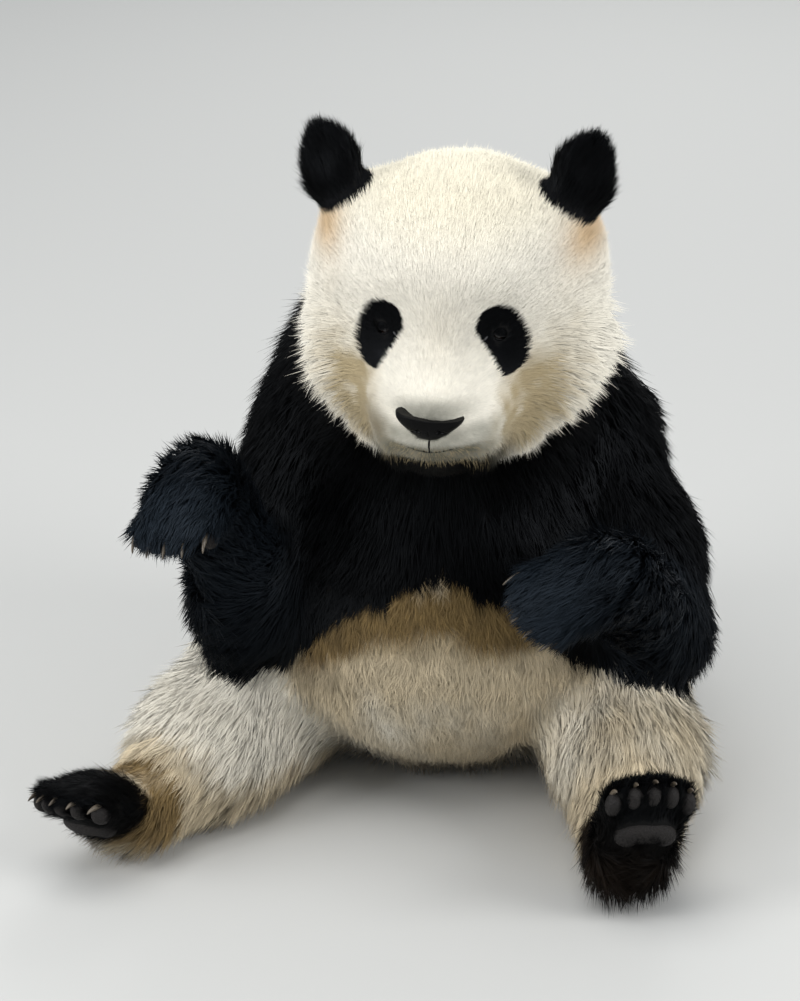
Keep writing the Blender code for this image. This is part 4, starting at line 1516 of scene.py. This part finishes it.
hair_materials = {
    "white": material_from(
        "white coat", hair_group, {"Streak": 0.08, "Patch": 0.05, "Gloss": 0.68},
        {"Sheen Weight": 0.15, "Specular IOR Level": 0.25}, (0.25, 0.0006), "coat",
    ),
    "soiled": material_from(
        "soiled coat", hair_group, {"Streak": 0.22, "Patch": 0.20, "Gloss": 0.74},
        {"Sheen Weight": 0.10, "Specular IOR Level": 0.2}, (0.3, 0.0006), "coat",
    ),
    "black": material_from(
        "black coat", hair_group, {"Streak": 0.25, "Patch": 0.15, "Gloss": 0.50},
        {"Specular IOR Level": 0.075, "Specular Tint": (0.82, 0.90, 1.0, 1)},
        (0.25, 0.0006), "coat",
    ),
}
skin_material = material_from(
    "skin", hair_group, {"Streak": 0.15, "Patch": 0.08, "Gloss": 0.75},
    {"Specular IOR Level": 0.15}, (0.5, 0.0015), "coat",
)
nose_leather = material_from(
    "nose leather", grain_group, {"Colour": (0.002, 0.002, 0.002, 1), "Scale": 850.0, "Wet": 0.28},
    {"Specular IOR Level": 0.07}, (0.35, 0.0004),
)
lid_leather = material_from(
    "lid leather", grain_group, {"Colour": (0.005, 0.005, 0.006, 1), "Scale": 1500.0, "Wet": 0.48},
    {"Specular IOR Level": 0.2}, (0.4, 0.0003),
)
tear_film = material_from(
    "tear film", grain_group, {"Colour": (0.055, 0.054, 0.058, 1), "Scale": 1500.0, "Wet": 0.24},
    {"Specular IOR Level": 0.5}, (0.1, 0.0002),
)
pad_leather = material_from(
    "pad leather", grain_group, {"Colour": (0.012, 0.0105, 0.010, 1), "Scale": 520.0, "Wet": 0.62},
    {"Specular IOR Level": 0.2}, (0.8, 0.0012),
)
# Claw horn painted darker than a panda's pale claws: painted shade.
shaded_claw_horn = material_from(
    "claw horn", grain_group, {"Colour": (0.080, 0.064, 0.046, 1), "Scale": 260.0, "Wet": 0.30},
    {"Specular IOR Level": 0.5}, (0.2, 0.0003),
)

# %% [markdown]
# ## The finish of an eye
# Seen close, an eye has a black slit of a pupil, a dark brown iris with a darker rim, and a brown
# white. These lie round the line of sight, so a Mapping node turns the Object coordinates to it,
# and the distance from that line picks the colour from a ramp.

# %% Eye material
IRIS_STOPS = [  # how far out each colour starts, for 1 at the eyeball's rim
    (0.00, (0.002, 0.002, 0.002)), (0.16, (0.002, 0.002, 0.002)), (0.20, (0.006, 0.003, 0.002)),
    (0.46, (0.009, 0.005, 0.003)), (0.56, (0.003, 0.002, 0.002)), (0.62, (0.010, 0.008, 0.007)),
]


def eye_material(side, eye):
    """Pupil, iris and white as rings round one eye's line of sight, under a wet coat."""
    material = bpy.data.materials.new("eye gloss " + side)
    material.use_nodes = True
    tree = material.node_tree
    shader = tree.nodes["Principled BSDF"]
    turn = facing(eye["at"], eye["look"], eye["corner"]).inverted()
    mapping = tree.nodes.new("ShaderNodeMapping")
    mapping.inputs["Location"].default_value = turn.translation
    mapping.inputs["Rotation"].default_value = turn.to_euler("XYZ")
    tree.links.new(object_place(tree), mapping.inputs["Vector"])
    flat = tree.nodes.new("ShaderNodeVectorMath")
    flat.operation = "MULTIPLY"
    flat.inputs[1].default_value = (1 / eye["radius"], 1 / eye["radius"], 0)
    tree.links.new(mapping.outputs["Vector"], flat.inputs[0])
    distance = tree.nodes.new("ShaderNodeVectorMath")
    distance.operation = "LENGTH"
    tree.links.new(flat.outputs["Vector"], distance.inputs[0])
    rings = tree.nodes.new("ShaderNodeValToRGB")
    while len(rings.color_ramp.elements) < len(IRIS_STOPS):
        rings.color_ramp.elements.new(0.5)
    for element, (stop, colour) in zip(rings.color_ramp.elements, IRIS_STOPS):
        element.position = stop
        element.color = (*colour, 1)
    tree.links.new(distance.outputs["Value"], rings.inputs["Fac"])
    tree.links.new(rings.outputs["Color"], shader.inputs["Base Color"])
    film = noise(tree, mapping.outputs["Vector"], 900.0)
    tree.links.new(remap(tree, film, 0.05, 0.11), shader.inputs["Roughness"])
    shader.inputs["Specular IOR Level"].default_value = 0.25
    shader.inputs["Coat Weight"].default_value = 0.25
    shader.inputs["Coat Roughness"].default_value = 0.03
    return material


# %% Dress every piece
def dress(obj, material, replaced=()):
    """Gives a piece its material, hangs it on the root, and hides the imported parts that it
    replaces.
    """
    obj.data.materials.clear()
    obj.data.materials.append(material)
    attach(obj, "root")
    if replaced:
        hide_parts(*replaced)


dress(skin, skin_material, flesh)
for name, (kind, obj) in coat.items():
    dress(obj, hair_materials[kind])
for side, eye in eyes.items():
    dress(eyeballs[side], eye_material(side, eye), ["eye_" + side])
    dress(lids[side], lid_leather)
dress(nose, nose_leather, ["nose"])
dress(lips, nose_leather)
dress(tears, tear_film)
for pad in pads.values():
    dress(pad, pad_leather)
dress(claws, shaded_claw_horn, claw_names)

# %% [markdown]
# ## Floor and light
# A pale floor and a few large, soft lamps, as in a studio: a broad one high above for the crown
# and shoulders, one from each side for the flanks, a weak one behind for the outline, and a pale
# world so that black fur keeps its shape.

# %% Floor
bpy.ops.object.select_all(action="DESELECT")
bpy.ops.mesh.primitive_plane_add(size=30, location=(0, 0, 0))
floor = bpy.context.object
floor.name = "floor"
floor_paint = bpy.data.materials.new("floor paint")
floor_paint.use_nodes = True
floor_shader = floor_paint.node_tree.nodes["Principled BSDF"]
floor_shader.inputs["Base Color"].default_value = (0.50, 0.50, 0.485, 1)
floor_shader.inputs["Roughness"].default_value = 0.9
floor.data.materials.append(floor_paint)
floor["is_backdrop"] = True

# %% Lamps
LAMPS = {
    "overhead": {"at": (-0.6, -0.7, 3.2), "size": 2.6, "power": 55},
    "left": {"at": (-3.2, -1.7, 1.6), "size": 2.2, "power": 92},
    "right": {"at": (3.2, -1.5, 1.8), "size": 2.2, "power": 93},
    "back": {"at": (0.6, 3.2, 2.2), "size": 2.0, "power": 40},
}
LAMPS_LOOK_AT = Vector((0, -0.05, 0.35))
for name, lamp in LAMPS.items():
    light = bpy.data.lights.new("lamp_" + name, "AREA")
    light.shape = "DISK"
    light.size = lamp["size"]
    light.energy = lamp["power"]
    obj = add_object("lamp_" + name, light)
    obj.location = lamp["at"]
    obj.rotation_euler = (LAMPS_LOOK_AT - obj.location).to_track_quat("-Z", "Y").to_euler()
    obj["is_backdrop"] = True
world = bpy.data.worlds.new("studio")
world.use_nodes = True
backdrop = world.node_tree.nodes["Background"]
backdrop.inputs["Color"].default_value = (0.92, 0.96, 1.0, 1)
backdrop.inputs["Strength"].default_value = 0.52
bpy.context.scene.world = world
bpy.context.scene.view_settings.view_transform = "Standard"

# %% [markdown]
# ## The size at the end
# The box round the dressed animal is measured, without hidden pieces, the floor and the lamps.
# The coat is made to reach the imported one's box, but for a little fluff. The dressed animal
# has to fit the imported one's box, but for a little fluff.

# %% Measure the dressed animal's box
low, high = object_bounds()
